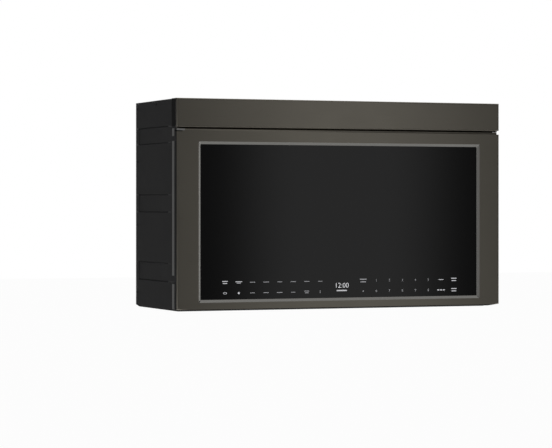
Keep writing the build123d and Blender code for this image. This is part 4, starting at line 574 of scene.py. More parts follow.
class Finishes:
    """Every finish of the object, by a maker's plain words."""

    BLACK_STAINLESS = BrushedSheet("black_stainless", "black_stainless", (0.295, 0.274, 0.231), 0.3)
    # Painted highlight: a lighter copy of the black stainless for the bevel round the glass.
    BEVEL_STAINLESS = BrushedSheet("bevel_stainless", "black_stainless", (0.56, 0.55, 0.52), 0.24)
    # Lighter stainless: on the side returns partly the door's inner frame and partly painted highlight, on
    # the top left corner strip a painted highlight.
    RETURN_STAINLESS = BrushedSheet(
        "return_stainless", "black_stainless", (0.6, 0.6, 0.59), 0.36, grain=(900.0, 5200.0, 9.0)
    )
    # Painted shade: a near-black coat on the front of the door's side returns and along its bottom hem, where
    # the sheet falls into shade.
    EDGE_BAND = PowderCoat("edge_band", "black_stainless", (0.009, 0.009, 0.009), 0.5)
    # Painted shade: a darker coat along the edges of the side panels' pressed bands, where the press lines
    # fall into shade.
    PRESS_LINE = PowderCoat("press_line", "case_paint", (0.009, 0.009, 0.0092), 0.6, gloss=0.12)
    CASE_PAINT = PowderCoat("case_paint", "case_paint", (0.017, 0.017, 0.0175), 0.42)
    COPPER_COIL = Laminate("copper_coil", "core_steel", (0.42, 0.15, 0.055), 0.4, layers=(60.0, 60.0, 2200.0))
    FERRITE = Moulded("ferrite", "core_steel", (0.03, 0.03, 0.032), 0.55)
    BOARD_PART = Moulded("board_part", "circuit_board", (0.015, 0.015, 0.017), 0.35, depth=0.005 * MM)
    BOARD_CAN = Moulded("board_can", "circuit_board", (0.02, 0.06, 0.16), 0.3, depth=0.002 * MM)
    ZINC = Spangle("zinc_sheet", "zinc_sheet", (0.55, 0.56, 0.57), 0.38)
    OVEN_ENAMEL = Enamel("oven_enamel", "oven_enamel", (0.20, 0.21, 0.23), 0.34)
    CERAMIC = CeramicPlate("ceramic_plate", "ceramic_plate", (0.50, 0.49, 0.46), 0.14)
    BLACK_GLASS = DarkGlass("black_glass", "black_glass", (0.0022, 0.0022, 0.0023), 0.05)
    CLEAR_GLASS = ClearPane("clear_glass", "clear_glass", (0.86, 0.9, 0.9), 0.05, clarity=1.0)
    LENS = ClearPane("frosted_lens", "lens", (0.88, 0.89, 0.88), 0.35, clarity=0.75, depth=0.05 * MM)
    BLACK_PLASTIC = Moulded("black_plastic", "black_plastic", (0.02, 0.02, 0.021), 0.45)
    CAP_PLASTIC = Moulded("cap_plastic", "black_plastic", (0.008, 0.008, 0.008), 0.6, gloss=0.1)
    GREY_PLASTIC = Moulded("grey_plastic", "grey_plastic", (0.18, 0.18, 0.19), 0.4)
    WHITE_PLASTIC = Moulded(
        "white_plastic", "white_plastic", (0.72, 0.72, 0.69), 0.4, depth=0.008 * MM
    )
    ALUMINIUM = BrushedSheet(
        "mill_aluminium", "aluminium", (0.7, 0.71, 0.73), 0.34, grain=(60.0, 2400.0, 2400.0)
    )
    MOTOR_SHELL = PowderCoat(
        "motor_shell", "motor_shell", (0.42, 0.42, 0.43), 0.38, peel=260.0, depth=0.1 * MM
    )
    BARE_STEEL = BrushedSheet("bare_steel", "bare_steel", (0.5, 0.5, 0.5), 0.3, grain=(300.0, 300.0, 2400.0))
    SPRING_WIRE = BrushedSheet(
        "spring_wire", "spring_steel", (0.42, 0.43, 0.44), 0.28, grain=(900.0, 900.0, 3000.0)
    )
    CORE = Laminate("laminated_core", "core_steel", (0.12, 0.12, 0.13), 0.5)
    BOARD = BoardMask("circuit_board", "circuit_board", (0.02, 0.13, 0.06), 0.3)
    DISPLAY = Moulded("display_black", "display_black", (0.012, 0.012, 0.014), 0.22, depth=0.002 * MM)
    CHARCOAL = Granules("charcoal_bed", "charcoal_bed", (0.012, 0.012, 0.012), 0.7)
    RUBBER = Moulded("black_rubber", "rubber_black", (0.015, 0.015, 0.015), 0.7, texture=700.0)
    DOOR_SCREEN = HoledSheet("door_screen", "case_paint", (0.02, 0.02, 0.021), 0.5)
    PRINT_BRIGHT = LitPrint("lit_legend_bright", "display_black", (0.95, 0.96, 1.0), 0.4, glow=0.42)
    PRINT_DIM = LitPrint("lit_legend_dim", "display_black", (0.95, 0.96, 1.0), 0.4, glow=0.16)
    DIGITS = LitPrint("lit_clock", "display_black", (0.97, 0.98, 1.0), 0.4, glow=0.95)


NODE_FINISHES: dict[Finish, tuple[str, ...]] = {
    Finishes.ZINC: (
        "inner_floor", "bay_wall", "vent_deck", "antenna_box", "waveguide", "stirrer_motor", "blower_scrolls",
        "door_choke", "hinge_leaves",
    ),
    Finishes.OVEN_ENAMEL: ("oven_cavity",),
    Finishes.CERAMIC: ("ceramic_floor",),
    Finishes.CLEAR_GLASS: ("door_inner_pane",),
    Finishes.LENS: ("cooktop_lamp_lenses",),
    Finishes.BLACK_PLASTIC: (
        "cooktop_lamp_housings", "vent_louvre", "cooling_fan_shroud", "interlock_switches", "choke_cover",
        "latch_bar", "latch_guides", "thermal_cutouts",
    ),
    Finishes.GREY_PLASTIC: ("hinge_bushes", "blower_wheels"),
    Finishes.WHITE_PLASTIC: ("switch_plungers", "interlock_bracket", "cavity_lamp", "cooling_fan_blade"),
    Finishes.ALUMINIUM: ("hv_capacitor", "stirrer_antenna"),
    Finishes.BARE_STEEL: ("hinge_pins", "hinge_arms", "blower_shaft", "cooling_fan_shaft"),
    Finishes.SPRING_WIRE: ("latch_spring",),
    Finishes.DISPLAY: ("display_module",),
    Finishes.RUBBER: ("cord_gland",),
    Finishes.DOOR_SCREEN: ("door_screen",),
    Finishes.CASE_PAINT: ("door_back_panel", "front_frame"),
}


# ---- Mesh work -----------------------------------------------------------------------------------
CREASE_ANGLE = 35.0
SHEET_CREASE_ANGLE = 50.0
SHARP_ANGLE = 30.0
FLAT_ANGLE = 0.2
FLAT_WIDTH = 3.2 * MM
MERGE_DISTANCE = 0.002 * MM


def at_mm(x: float, depth: float, z: float) -> Vector:
    """Return the point at an X, a depth behind the door's front and a height, in millimetres."""
    return Vector((x * MM, FRONT_Y + depth * MM, z * MM))


def bounds_mm(node: str) -> tuple[Vector, Vector]:
    """Return a node's lowest and highest corner as X, depth and height in millimetres."""
    return tuple(Vector((c.x, c.y - FRONT_Y, c.z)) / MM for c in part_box(node))


def add_piece(name: str, bm: BMesh, body: str, finish: Finish) -> Object:
    """Turn a bmesh into a piece that rides on a body.

    Args:
        name: the piece's name.
        bm: its mesh in the frame's coordinates; it is freed here.
        body: the CAD body that it moves with.
        finish: its finish.

    Returns:
        The new object.
    """
    mesh = bpy.data.meshes.new(name)
    bm.to_mesh(mesh)
    bm.free()
    mesh.materials.append(finish.material())
    piece = bpy.data.objects.new(name, mesh)
    bpy.context.scene.collection.objects.link(piece)
    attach(piece, body)
    LOG.info("piece %s rides on %s with %d faces", name, body, len(mesh.polygons))
    return piece


def add_sheet(node: str, name: str, bm: BMesh, body: str, finish: Finish) -> Object:
    """Turn a softened copy of a CAD node into a piece that is shown in the node's place.

    Args:
        node: the CAD node.
        name, bm, body, finish: the piece's values, as in add_piece.

    Returns:
        The new object.
    """
    piece = add_piece(name, bm, body, finish)
    smooth_sheet(piece)
    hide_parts(node)
    return piece


def smooth(piece: Object, angle: float = CREASE_ANGLE) -> None:
    """Shade a piece smooth, apart from edges sharper than an angle in degrees."""
    piece.data.shade_smooth()
    piece.data.set_sharp_from_angle(angle=math.radians(angle))


def smooth_sheet(piece: Object) -> None:
    """Shade a sheet's folds and roundings smooth and keep its wide faces flat, which then mirror straight.

    Args:
        piece: the sheet.
    """
    smooth(piece, SHEET_CREASE_ANGLE)
    mesh = piece.data
    for face in mesh.polygons:
        ends = [mesh.vertices[v].co for v in face.vertices]
        longest = max((a - b).length for a, b in zip(ends, ends[1:] + ends[:1]))
        if face.area / longest > FLAT_WIDTH:
            face.use_smooth = False


def softened(node: str, radius: float, segments: int = 2) -> BMesh:
    """Copy a CAD node, merge its facets and round its sharp edges.

    Args:
        node: the CAD node.
        radius: the rounding in metres.
        segments: facets across each rounding.

    Returns:
        A bmesh of the rounded copy.
    """
    bm = bmesh.new()
    bm.from_mesh(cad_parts[node].data)
    bmesh.ops.remove_doubles(bm, verts=bm.verts, dist=MERGE_DISTANCE)
    bmesh.ops.dissolve_limit(bm, angle_limit=math.radians(FLAT_ANGLE), verts=bm.verts, edges=bm.edges)
    limit = math.radians(SHARP_ANGLE)
    sharp = [e for e in bm.edges if e.is_manifold and e.calc_face_angle(0.0) > limit]
    bmesh.ops.bevel(
        bm, geom=sharp, offset=radius, affect="EDGES", segments=segments, profile=0.5, material=-1,
        clamp_overlap=True,
    )
    return bm


def cut(bm: BMesh, point: Vector, normal: tuple[int, int, int], trim: bool = False) -> None:
    """Cut a mesh's faces along a plane.

    Args:
        bm: the mesh.
        point: a point of the plane.
        normal: the plane's normal.
        trim: whether to drop the side that the normal points to and close the ends of the rest.
    """
    geometry = bm.verts[:] + bm.edges[:] + bm.faces[:]
    made = bmesh.ops.bisect_plane(bm, geom=geometry, plane_co=point, plane_no=normal, clear_outer=trim)
    if trim:
        ends = [e for e in made["geom_cut"] if isinstance(e, bmesh.types.BMEdge)]
        bmesh.ops.holes_fill(bm, edges=ends, sides=8)


def box_between(bm: BMesh, low: Vector, high: Vector, radius: float = 0.0) -> None:
    """Add a box to a mesh.

    Args:
        bm: the mesh.
        low: the box's lowest corner.
        high: its highest corner.
        radius: the rounding of its edges, or 0 for none.
    """
    place = Matrix.Translation((low + high) / 2) @ Matrix.Diagonal((*(high - low), 1.0))
    verts = bmesh.ops.create_cube(bm, size=1.0, matrix=place)["verts"]
    if radius:
        edges = list({e for v in verts for e in v.link_edges})
        bmesh.ops.bevel(bm, geom=edges, offset=radius, affect="EDGES", segments=2, profile=0.5, material=-1)


@dataclass(frozen=True)
class Zone:
    """Box in X, depth and height, in millimetres, whose faces get their own finish."""

    finish: Finish
    x: Span = (-400.0, 400.0)
    depth: Span = (-1.0, 400.0)
    z: Span = (-1.0, 500.0)

    def holds(self, point: Vector) -> bool:
        """Return whether a point lies in the zone."""
        place = (point.x / MM, (point.y - FRONT_Y) / MM, point.z / MM)
        return all(low <= at <= high for at, (low, high) in zip(place, (self.x, self.depth, self.z)))


def paint_zones(piece: Object, zones: Iterable[Zone]) -> None:
    """Give the faces of a piece in each zone that zone's finish.

    Args:
        piece: the piece.
        zones: the zones, of which a later one wins.
    """
    for zone in zones:
        material = zone.finish.material()
        if material.name not in piece.data.materials:
            piece.data.materials.append(material)
        number = piece.data.materials.find(material.name)
        for face in piece.data.polygons:
            if zone.holds(face.center):
                face.material_index = number


def dress_node(node: str, finish: Finish, zones: Iterable[Zone] = ()) -> None:
    """Dress a CAD node that stays.

    Args:
        node: the node.
        finish: its finish.
        zones: the zones whose faces get another one.
    """
    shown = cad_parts[node]
    shown.data.materials.clear()
    shown.data.materials.append(finish.material())
    smooth(shown)
    paint_zones(shown, zones)


@dataclass
class Screws:
    """Round-headed screws with a recess in each head; lengths are in millimetres."""

    radius: float = 3.4
    crown: float = 0.86
    height: float = 1.5
    recess: float = 0.42
    recess_depth: float = 0.7
    sides: int = 18

    def add(self, name: str, body: str, seats: Iterable[Vector], outward: Vector, finish: Finish) -> None:
        """Add screws as one piece.

        Args:
            name: the piece's name.
            body: the body that they are screwed into.
            seats: their seats as X, depth and height in millimetres.
            outward: the direction that the heads face.
            finish: their finish.
        """
        bm = bmesh.new()
        turn = outward.to_track_quat("Z", "Y").to_matrix().to_4x4()
        for seat in seats:
            place = Matrix.Translation(at_mm(*seat) + outward * self.height * MM / 2) @ turn
            head = bmesh.ops.create_cone(
                bm, cap_ends=True, segments=self.sides, radius1=self.radius * MM,
                radius2=self.crown * self.radius * MM, depth=self.height * MM, matrix=place,
            )
            top = max({f for v in head["verts"] for f in v.link_faces}, key=lambda f: f.normal.dot(outward))
            bmesh.ops.inset_region(bm, faces=[top], thickness=self.recess * self.radius * MM)
            bmesh.ops.translate(bm, verts=top.verts, vec=-outward * self.recess_depth * self.height * MM)
        smooth(add_piece(name, bm, body, finish))


# ---- Case ----------------------------------------------------------------------------------------
@dataclass
class Case:
    """Outer case: side panels, top, back and base, with the screws and a tab beside the door.

    Lengths without MM are in millimetres. The photograph has the side panels' pressed bands lower than
    the frame, so band_moves holds pairs of the frame's height and the shown height.
    """

    edge: float = 0.2 * MM
    shells: tuple[tuple[str, Finish], ...] = (
        ("side_panel_left", Finishes.CASE_PAINT),
        ("side_panel_right", Finishes.CASE_PAINT),
        ("top_cover", Finishes.ZINC),
        ("back_panel", Finishes.ZINC),
        ("base_pan", Finishes.CASE_PAINT),
    )
    band_depth: Span = (80.0, 310.0)
    band_moves: tuple[Span, ...] = (
        (90.0, 55.7), (95.5, 61.2), (126.5, 100.3), (236.5, 211.0), (267.5, 248.5), (377.5, 360.3),
        (408.5, 395.5), (414.0, 401.0),
    )
    line_depth: Span = (108.0, 305.0)
    line_height: float = 1.3
    tab: tuple[tuple[float, float, float], ...] = ((366.8, 9.0, 388.5), (379.7, 11.5, 391.9))
    tab_edge: float = 0.2 * MM
    screw_heights: tuple[float, ...] = (32.0, 182.0, 322.0, 440.0)
    screw_depths: Span = (70.0, 190.0)
    screw_insets: Span = (8.0, 7.0)

    def build(self) -> None:
        """Soften the sheets' edges and paint them."""
        for node, finish in self.shells:
            bm = softened(node, self.edge, 1)
            lines = self.move_bands(bm) if node.startswith("side") else []
            paint_zones(add_sheet(node, node + "_sheet", bm, "case", finish), lines)
        self.add_side_screws()
        self.add_gap_tab()

    def move_bands(self, bm: BMesh) -> list[Zone]:
        """Move a side panel's bands and cut out the lines along their edges, which get painted shade.

        Args:
            bm: the panel's mesh.

        Returns:
            The zones of the painted shade lines.
        """
        moves = self.band_moves
        for vert in bm.verts:
            depth, height = (vert.co.y - FRONT_Y) / MM, vert.co.z / MM
            if self.band_depth[0] < depth < self.band_depth[1] and moves[0][0] < height < moves[-1][0]:
                for (low, new_low), (high, new_high) in zip(moves, moves[1:]):
                    if low <= height <= high:
                        vert.co.z = (new_low + (height - low) * (new_high - new_low) / (high - low)) * MM
        lines = [(edge - self.line_height, edge + self.line_height) for _, edge in moves[1:-1]]
        for line in lines:
            for z in line:
                cut(bm, Vector((0, 0, z * MM)), (0, 0, 1))
        for depth in self.line_depth:
            cut(bm, at_mm(0, depth, 0), (0, 1, 0))
        # Painted shade along the press lines at the bands' edges.
        return [Zone(Finishes.PRESS_LINE, depth=self.line_depth, z=line) for line in lines]

    def add_gap_tab(self) -> None:
        """Add the tab that closes the right end of the gap between the fascia and the door."""
        bm = bmesh.new()
        box_between(bm, *(at_mm(*corner) for corner in self.tab), self.tab_edge)
        smooth(add_piece("gap_tab", bm, "case", Finishes.CAP_PLASTIC))

    def add_side_screws(self) -> None:
        """Put the screws along the rear and upper edges of both side panels."""
        from_rear, from_top = self.screw_insets
        for side, word in ((-1, "left"), (1, "right")):
            low, high = bounds_mm(f"side_panel_{word}")
            x = low.x if side < 0 else high.x
            seats = [Vector((x, high.y - from_rear, z)) for z in self.screw_heights]
            seats += [Vector((x, depth, high.z - from_top)) for depth in self.screw_depths]
            Screws().add(f"side_screws_{word}", "case", seats, Vector((side, 0, 0)), Finishes.CASE_PAINT)


# ---- Vent fascia ---------------------------------------------------------------------------------
@dataclass
class Fascia:
    """Strip above the door and the caps at its ends."""

    edge: float = 0.25 * MM
    cap_edge: float = 0.3 * MM

    def build(self) -> None:
        """Soften the strip and its caps and dress them."""
        strip, caps = softened("vent_fascia", self.edge), softened("fascia_end_caps", self.cap_edge)
        add_sheet("vent_fascia", "fascia_strip", strip, "case", Finishes.BLACK_STAINLESS)
        add_sheet("fascia_end_caps", "fascia_caps", caps, "case", Finishes.CAP_PLASTIC)


# ---- Door ----------------------------------------------------------------------------------------
class Glow(Enum):
    """How brightly a legend shows through the glass."""

    BRIGHT = Finishes.PRINT_BRIGHT
    DIM = Finishes.PRINT_DIM
    CLOCK = Finishes.DIGITS


class Mark(Enum):
    """Shape of a legend without digits: bars of (x, z, width, height) in shares of its width, or a round."""

    LINE = ((0.0, 0.0, 1.0, 0.11),)
    WIDE = ((0.0, 0.09, 1.0, 0.1), (0.0, -0.1, 0.62, 0.08))
    PAIR = ((0.0, 0.19, 1.0, 0.13), (0.0, -0.16, 0.8, 0.13))
    BLOCK = ((0.0, 0.2, 1.0, 0.14), (0.0, -0.2, 0.86, 0.14))
    TRIPLE = ((-0.37, 0.0, 0.26, 0.13), (0.0, 0.0, 0.26, 0.13), (0.37, 0.0, 0.26, 0.13))
    UPRIGHT = ((0.0, 0.0, 0.17, 1.0),)
    DOT = "dot"
    RING = "ring"


@dataclass(frozen=True)
class Legend:
    """One touch legend: its place in millimetres, its brightness, its mark or digits and its width."""

    x: float
    z: float
    glow: Glow
    mark: Union[Mark, str]
    width: float = 0.0


@dataclass
class Door:
    """Door front, its glass, the printed legends and the clock; lengths without MM are in millimetres."""

    edge: float = 0.3 * MM
    print_thickness: float = 0.03 * MM
    digit_height: float = 5.2 * MM
    clock_height: float = 10.5 * MM
    clock_thinning: float = 0.3 * MM
    capital_share: float = 0.69
    ring_flatness: float = 0.46
    ring_stroke: float = 0.17
    round_sides: int = 28
    first_column: float = 51.0
    column_pitch: float = 31.4
    dim_columns: int = 6
    rows: Span = (61.5, 38.7)
    clock_z: float = 51.6
    clock_bar: tuple[float, float] = (40.8, 24.0)
    glass_lap: float = 4.5
    bevel: float = 5.7
    bevel_depth: float = 4.0
    bevel_margins: Span = (0.4, 0.6)
    bevel_slope: Span = (-0.98, -0.2)
    return_width: float = 1.2
    stripe: Span = (16.0, 30.0)
    strip_face: float = 2.4
    strip_length: float = 18.0
    strip_drop: float = 4.4
    hem: float = 2.7
    back_screw_x: Span = (30.0, 16.0)
    back_screw_z: float = 22.0
    edge_screw_z: Span = (12.0, 14.0)
    screw_columns: tuple[float, ...] = (-180.0, 0.0, 180.0)

    def build(self) -> None:
        """Build the skin, the glass and what is printed on it."""
        bm = softened("door_skin", self.edge)
        self.cut_skin(bm)
        self.dress_skin(add_sheet("door_skin", "door_front", bm, "door", Finishes.BLACK_STAINLESS))
        glass = softened("door_glass", self.edge)
        add_sheet("door_glass", "door_glass_pane", glass, "door", Finishes.BLACK_GLASS)
        legends = self.plan_legends()
        for glow in Glow:
            self.print_legends(glow, [legend for legend in legends if legend.glow is glow])
        self.add_back_screws()

    def cut_skin(self, bm: BMesh) -> None:
        """Cut the skin along the borders of its painted light and shade: the stripes of its side returns, its
        corner strip and its hem.

        Args:
            bm: the skin's mesh.
        """
        low, high = bounds_mm("door_skin")
        for depth in (*self.stripe, self.strip_face):
            cut(bm, at_mm(0, depth, 0), (0, 1, 0))
        cut(bm, at_mm(low.x + self.strip_length, 0, 0), (1, 0, 0))
        for z in (high.z - self.strip_drop, low.z + self.hem):
            cut(bm, at_mm(0, 0, z), (0, 0, 1))

    def dress_skin(self, skin: Object) -> None:
        """Paint light and shade on the skin: painted shade on the front of the side returns and on the hem, a
        lighter stainless on the rear of the side returns that is partly the inner frame's metal and partly
        painted highlight, and painted highlight on the corner strip and on the bevel round the glass.

        Args:
            skin: the skin.
        """
        low, high = bounds_mm("door_skin")
        sides = ((low.x - 1, low.x + self.return_width), (high.x - self.return_width, high.x + 1))
        # Painted shade on the front part of each side return.
        zones = [Zone(Finishes.EDGE_BAND, x=side, depth=(self.strip_face, 40.0)) for side in sides]
        # Rear part of each side return: partly the inner frame's lighter metal, partly painted highlight.
        zones += [Zone(Finishes.RETURN_STAINLESS, x=side, depth=self.stripe) for side in sides]
        # Painted highlight on the strip at the door's top left corner.
        strip, top = (low.x, low.x + self.strip_length), (high.z - self.strip_drop, high.z)
        zones.append(Zone(Finishes.RETURN_STAINLESS, strip, (-1.0, 2.0), top))
        # Painted shade along the door's bottom hem.
        zones.append(Zone(Finishes.EDGE_BAND, depth=(-1.0, 3.0), z=(low.z - 1, low.z + self.hem)))
        paint_zones(skin, zones)
        # Painted highlight: the sloping faces of the bevel round the glass get a lighter copy of the
        # stainless.
        low, high = bounds_mm("door_glass")
        margin, depth_margin = self.bevel_margins
        nearest_flat, steepest = self.bevel_slope
        reach = self.bevel + margin - self.glass_lap
        skin.data.materials.append(Finishes.BEVEL_STAINLESS.material())
        number = len(skin.data.materials) - 1
        for face in skin.data.polygons:
            x, z = face.center.x / MM, face.center.z / MM
            within = low.x - reach < x < high.x + reach and low.z - reach < z < high.z + reach
            shallow = (face.center.y - FRONT_Y) / MM < self.bevel_depth + depth_margin
            if within and shallow and nearest_flat < face.normal.y < steepest:
                face.material_index = number

    def plan_legends(self) -> list[Legend]:
        """Plan plain marks where words would be, and digits on the number keys.

        Returns:
            The legends.
        """
        left = (
            ((Mark.LINE, 10.0), (Mark.UPRIGHT, 6.0)),
            ((Mark.LINE, 12.0), (Mark.PAIR, 11.0)),
            ((Mark.LINE, 12.0), (Mark.LINE, 10.0)),
            ((Mark.LINE, 11.0), (Mark.LINE, 13.0)),
            ((Mark.LINE, 13.0), (Mark.LINE, 12.0)),
            ((Mark.LINE, 12.0), (Mark.LINE, 11.0)),
            ((Mark.WIDE, 15.0), (Mark.DOT, 4.6)),
            ((Mark.PAIR, 12.5), (Mark.RING, 9.0)),
        )
        right = (
            ((Mark.PAIR, 16.0), (Mark.DOT, 3.0)),
            *(((str(digit), 0.0), (str((digit + 5) % 10), 0.0)) for digit in range(1, 6)),
            ((Mark.LINE, 12.0), (Mark.TRIPLE, 18.0)),
            ((Mark.BLOCK, 13.0), (Mark.BLOCK, 13.0)),
        )
        legends = []
        for side, keys in ((-1, left), (1, right)):
            for column, key in enumerate(keys):
                glow = Glow.DIM if column < self.dim_columns else Glow.BRIGHT
                x = side * (self.first_column + column * self.column_pitch)
                legends += [Legend(x, z, glow, *mark) for mark, z in zip(key, self.rows)]
        bar_z, bar_width = self.clock_bar
        legends.append(Legend(0.0, self.clock_z, Glow.CLOCK, "12:00"))
        legends.append(Legend(0.0, bar_z, Glow.BRIGHT, Mark.LINE, bar_width))
        return legends

    def add_back_screws(self) -> None:
        """Put the screws that hold the door's back panel, with none at the middle of the hinge side."""
        low, high = bounds_mm("door_back_panel")
        left, right = low.x + self.back_screw_x[0], high.x - self.back_screw_x[1]
        bottom, top = low.z + self.back_screw_z, high.z - self.back_screw_z
        places = [(left, bottom), (right, bottom), (right, (low.z + high.z) / 2), (left, top), (right, top)]
        from_top, from_bottom = self.edge_screw_z
        places += [(x, z) for z in (high.z - from_top, low.z + from_bottom) for x in self.screw_columns]
        seats = [Vector((x, high.y, z)) for x, z in places]
        Screws().add("door_back_screws", "door", seats, Vector((0, 1, 0)), Finishes.BARE_STEEL)

    def print_legends(self, glow: Glow, legends: Iterable[Legend]) -> None:
        """Print legends as one thin piece on the face of the glass.

        Args:
            glow: their brightness.
            legends: the legends.
        """
        bm = bmesh.new()
        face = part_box("door_glass")[0].y
        for legend in legends:
            if isinstance(legend.mark, str):
                height = self.clock_height if glow is Glow.CLOCK else self.digit_height
                self.add_text(bm, legend, height, face)
            elif legend.mark in (Mark.DOT, Mark.RING):
                self.add_round(bm, legend, face)
            else:
                self.add_bars(bm, legend, face)
        add_piece(f"legends_{glow.name.lower()}", bm, "door", glow.value)

    @staticmethod
    def upright(legend: Legend, face: float) -> Matrix:
        """Return the place of a legend, facing forwards on the glass face at a Y."""
        return Matrix.Translation((legend.x * MM, face, legend.z * MM)) @ Matrix.Rotation(math.pi / 2, 4, "X")

    def add_bars(self, bm: BMesh, legend: Legend, face: float) -> None:
        """Add a legend's bars to a mesh.

        Args:
            bm: the mesh.
            legend: the legend.
            face: the Y of the glass face.
        """
        for x, z, width, height in legend.mark.value:
            size = legend.width * MM
            centre = Vector((legend.x * MM + x * size, face, legend.z * MM + z * size))
            half = Vector((width * size / 2, self.print_thickness, height * size / 2))
            box_between(bm, centre - half, centre + half)

    def add_round(self, bm: BMesh, legend: Legend, face: float) -> None:
        """Add a dot or a flat ring to a mesh.

        Args:
            bm: the mesh.
            legend: the legend.
            face: the Y of the glass face.
        """
        radius = legend.width * MM / 2
        place = self.upright(legend, face)
        if legend.mark is Mark.RING:
            place = place @ Matrix.Diagonal((1.0, self.ring_flatness, 1.0, 1.0))
        made = bmesh.ops.create_cone(
            bm, cap_ends=True, segments=self.round_sides, radius1=radius, radius2=radius,
            depth=2 * self.print_thickness, matrix=place,
        )
        if legend.mark is Mark.RING:
            caps = [f for f in {f for v in made["verts"] for f in v.link_faces} if len(f.verts) > 4]
            stroke = self.ring_stroke * radius
            inset = bmesh.ops.inset_region(bm, faces=caps, thickness=stroke, use_even_offset=True)
            bmesh.ops.delete(bm, geom=caps, context="FACES_ONLY")
            rims = [e for f in inset["faces"] for e in f.edges if len(e.link_faces) == 1]
            bmesh.ops.bridge_loops(bm, edges=list(set(rims)))

    def add_text(self, bm: BMesh, legend: Legend, height: float, face: float) -> None:
        """Add upright digits to a mesh.

        Args:
            bm: the mesh that they go into.
            legend: the legend with its text and place.
            height: the height of a digit in metres.
            face: the Y of the glass face.
        """
        curve = bpy.data.curves.new("digits", "FONT")
        curve.body = legend.mark
        curve.size = height / self.capital_share
        curve.align_x, curve.align_y = "CENTER", "CENTER"
        curve.extrude = self.print_thickness
        if legend.glow is Glow.CLOCK:
            curve.offset = -self.clock_thinning
        curve.resolution_u = 4
        holder = bpy.data.objects.new("digits", curve)
        mesh = bpy.data.meshes.new_from_object(holder)
        mesh.transform(self.upright(legend, face))
        bm.from_mesh(mesh)
        bpy.data.objects.remove(holder)
        bpy.data.curves.remove(curve)
        bpy.data.meshes.remove(mesh)


# ---- Oven ----------------------------------------------------------------------------------------
@dataclass
class OvenFittings:
    """Lamp grille in the oven wall and the screws of the front frame; lengths are in millimetres."""

    grille_bars: int = 7
    bar: float = 0.6
    bar_reach: Span = (0.7, 0.1)
    lamp_depth: Span = (72.0, 96.0)
    lamp_z: Span = (288.0, 300.0)
    upper_screws: tuple[float, ...] = (-300.0, -215.0, 215.0, 300.0)
    upper_heights: Span = (368.0, 425.0)
    lower_screws: tuple[float, ...] = (-250.0, 0.0, 250.0)
    lower_height: float = 40.0

    def build(self) -> None:
        """Build the grille and the screws."""
        wall = bounds_mm("oven_cavity")[1].x
        near, far = (wall - reach for reach in self.bar_reach)
        first, last = self.lamp_depth
        bm = bmesh.new()
        for number in range(self.grille_bars):
            depth = first + (number + 0.5) * (last - first) / self.grille_bars
            low = at_mm(near, depth - self.bar, self.lamp_z[0])
            box_between(bm, low, at_mm(far, depth + self.bar, self.lamp_z[1]))
        add_piece("lamp_grille", bm, "case", Finishes.OVEN_ENAMEL)
        front = bounds_mm("front_frame")[0].y
        seats = [Vector((x, front, z)) for x in self.upper_screws for z in self.upper_heights]
        seats += [Vector((x, front, self.lower_height)) for x in self.lower_screws]
        Screws().add("frame_screws", "case", seats, Vector((0, -1, 0)), Finishes.BARE_STEEL)


# ---- Underside -----------------------------------------------------------------------------------
@dataclass
class Underside:
    """Grease filters with their mesh and the ribs of the lamp lenses; lengths without MM in millimetres."""

    pitch: float = 6.5
    strand: float = 0.55
    strand_turn: float = math.radians(58.0)
    frame_width: float = 7.0
    panel_z: Span = (2.9, 3.1)
    mesh_z: Span = (1.6, 3.1)
    ribs: int = 13
    rib: float = 1.2
    rib_edge: float = 0.2 * MM
    rib_z: Span = (0.55, 1.05)
    lens_length: float = 64.0
    lens_rim: float = 5.0

    def build(self) -> None:
        """Dress both filters and both lenses."""
        for word in ("left", "right"):
            self.dress_filter(word)
        self.add_ribs()

    def dress_filter(self, word: str) -> None:
        """Dress one filter and lay the strands of its mesh under its panel.

        Args:
            word: the filter's side.
        """
        low, high = bounds_mm(f"grease_filter_{word}")
        left, right = low.x + self.frame_width, high.x - self.frame_width
        front, back = low.y + self.frame_width, high.y - self.frame_width
        panel = Zone(Finishes.CORE, (left, right), (front, back), self.panel_z)
        dress_node(f"grease_filter_{word}", Finishes.ALUMINIUM, [panel])
        bm = bmesh.new()
        middle = at_mm((low.x + high.x) / 2, (low.y + high.y) / 2, sum(self.mesh_z) / 2)
        reach = (high.x - low.x + high.y - low.y) / 2
        thick = self.mesh_z[1] - self.mesh_z[0]
        size = Matrix.Diagonal((2 * reach * MM, 2 * self.strand * MM, thick * MM, 1.0))
        for turn in (-1, 1):
            spin = Matrix.Translation(middle) @ Matrix.Rotation(turn * self.strand_turn, 4, "Z")
            for number in range(int(2 * reach / self.pitch)):
                at = (number + 0.5) * self.pitch - reach
                bmesh.ops.create_cube(bm, size=1.0, matrix=spin @ Matrix.Translation((0, at * MM, 0)) @ size)
        for x, sign in ((left, -1), (right, 1)):
            cut(bm, at_mm(x, 0, 0), (sign, 0, 0), trim=True)
        for depth, sign in ((front, -1), (back, 1)):
            cut(bm, at_mm(0, depth, 0), (0, sign, 0), trim=True)
        add_piece(f"filter_mesh_{word}", bm, f"filter_{word}", Finishes.ALUMINIUM)

    def add_ribs(self) -> None:
        """Add the light-spreading ribs under both lamp lenses."""
        low, high = bounds_mm("cooktop_lamp_lenses")
        front, back = low.y + self.lens_rim, high.y - self.lens_rim
        bottom, top = self.rib_z
        bm = bmesh.new()
        pitch = (self.lens_length - 2 * self.lens_rim) / self.ribs
        for start in (low.x, high.x - self.lens_length):
            for number in range(self.ribs):
                x = start + self.lens_rim + (number + 0.5) * pitch
                corner, far = at_mm(x - self.rib, front, bottom), at_mm(x + self.rib, back, top)
                box_between(bm, corner, far, self.rib_edge)
        smooth(add_piece("lens_ribs", bm, "case", Finishes.LENS))


# ---- Electrics -----------------------------------------------------------------------------------
Reach = tuple[float, float, float, float]


def from_low(start: float, end: float) -> Reach:
    """Return the reach between two distances from a node's lowest side."""
    return 0.0, start, 0.0, end


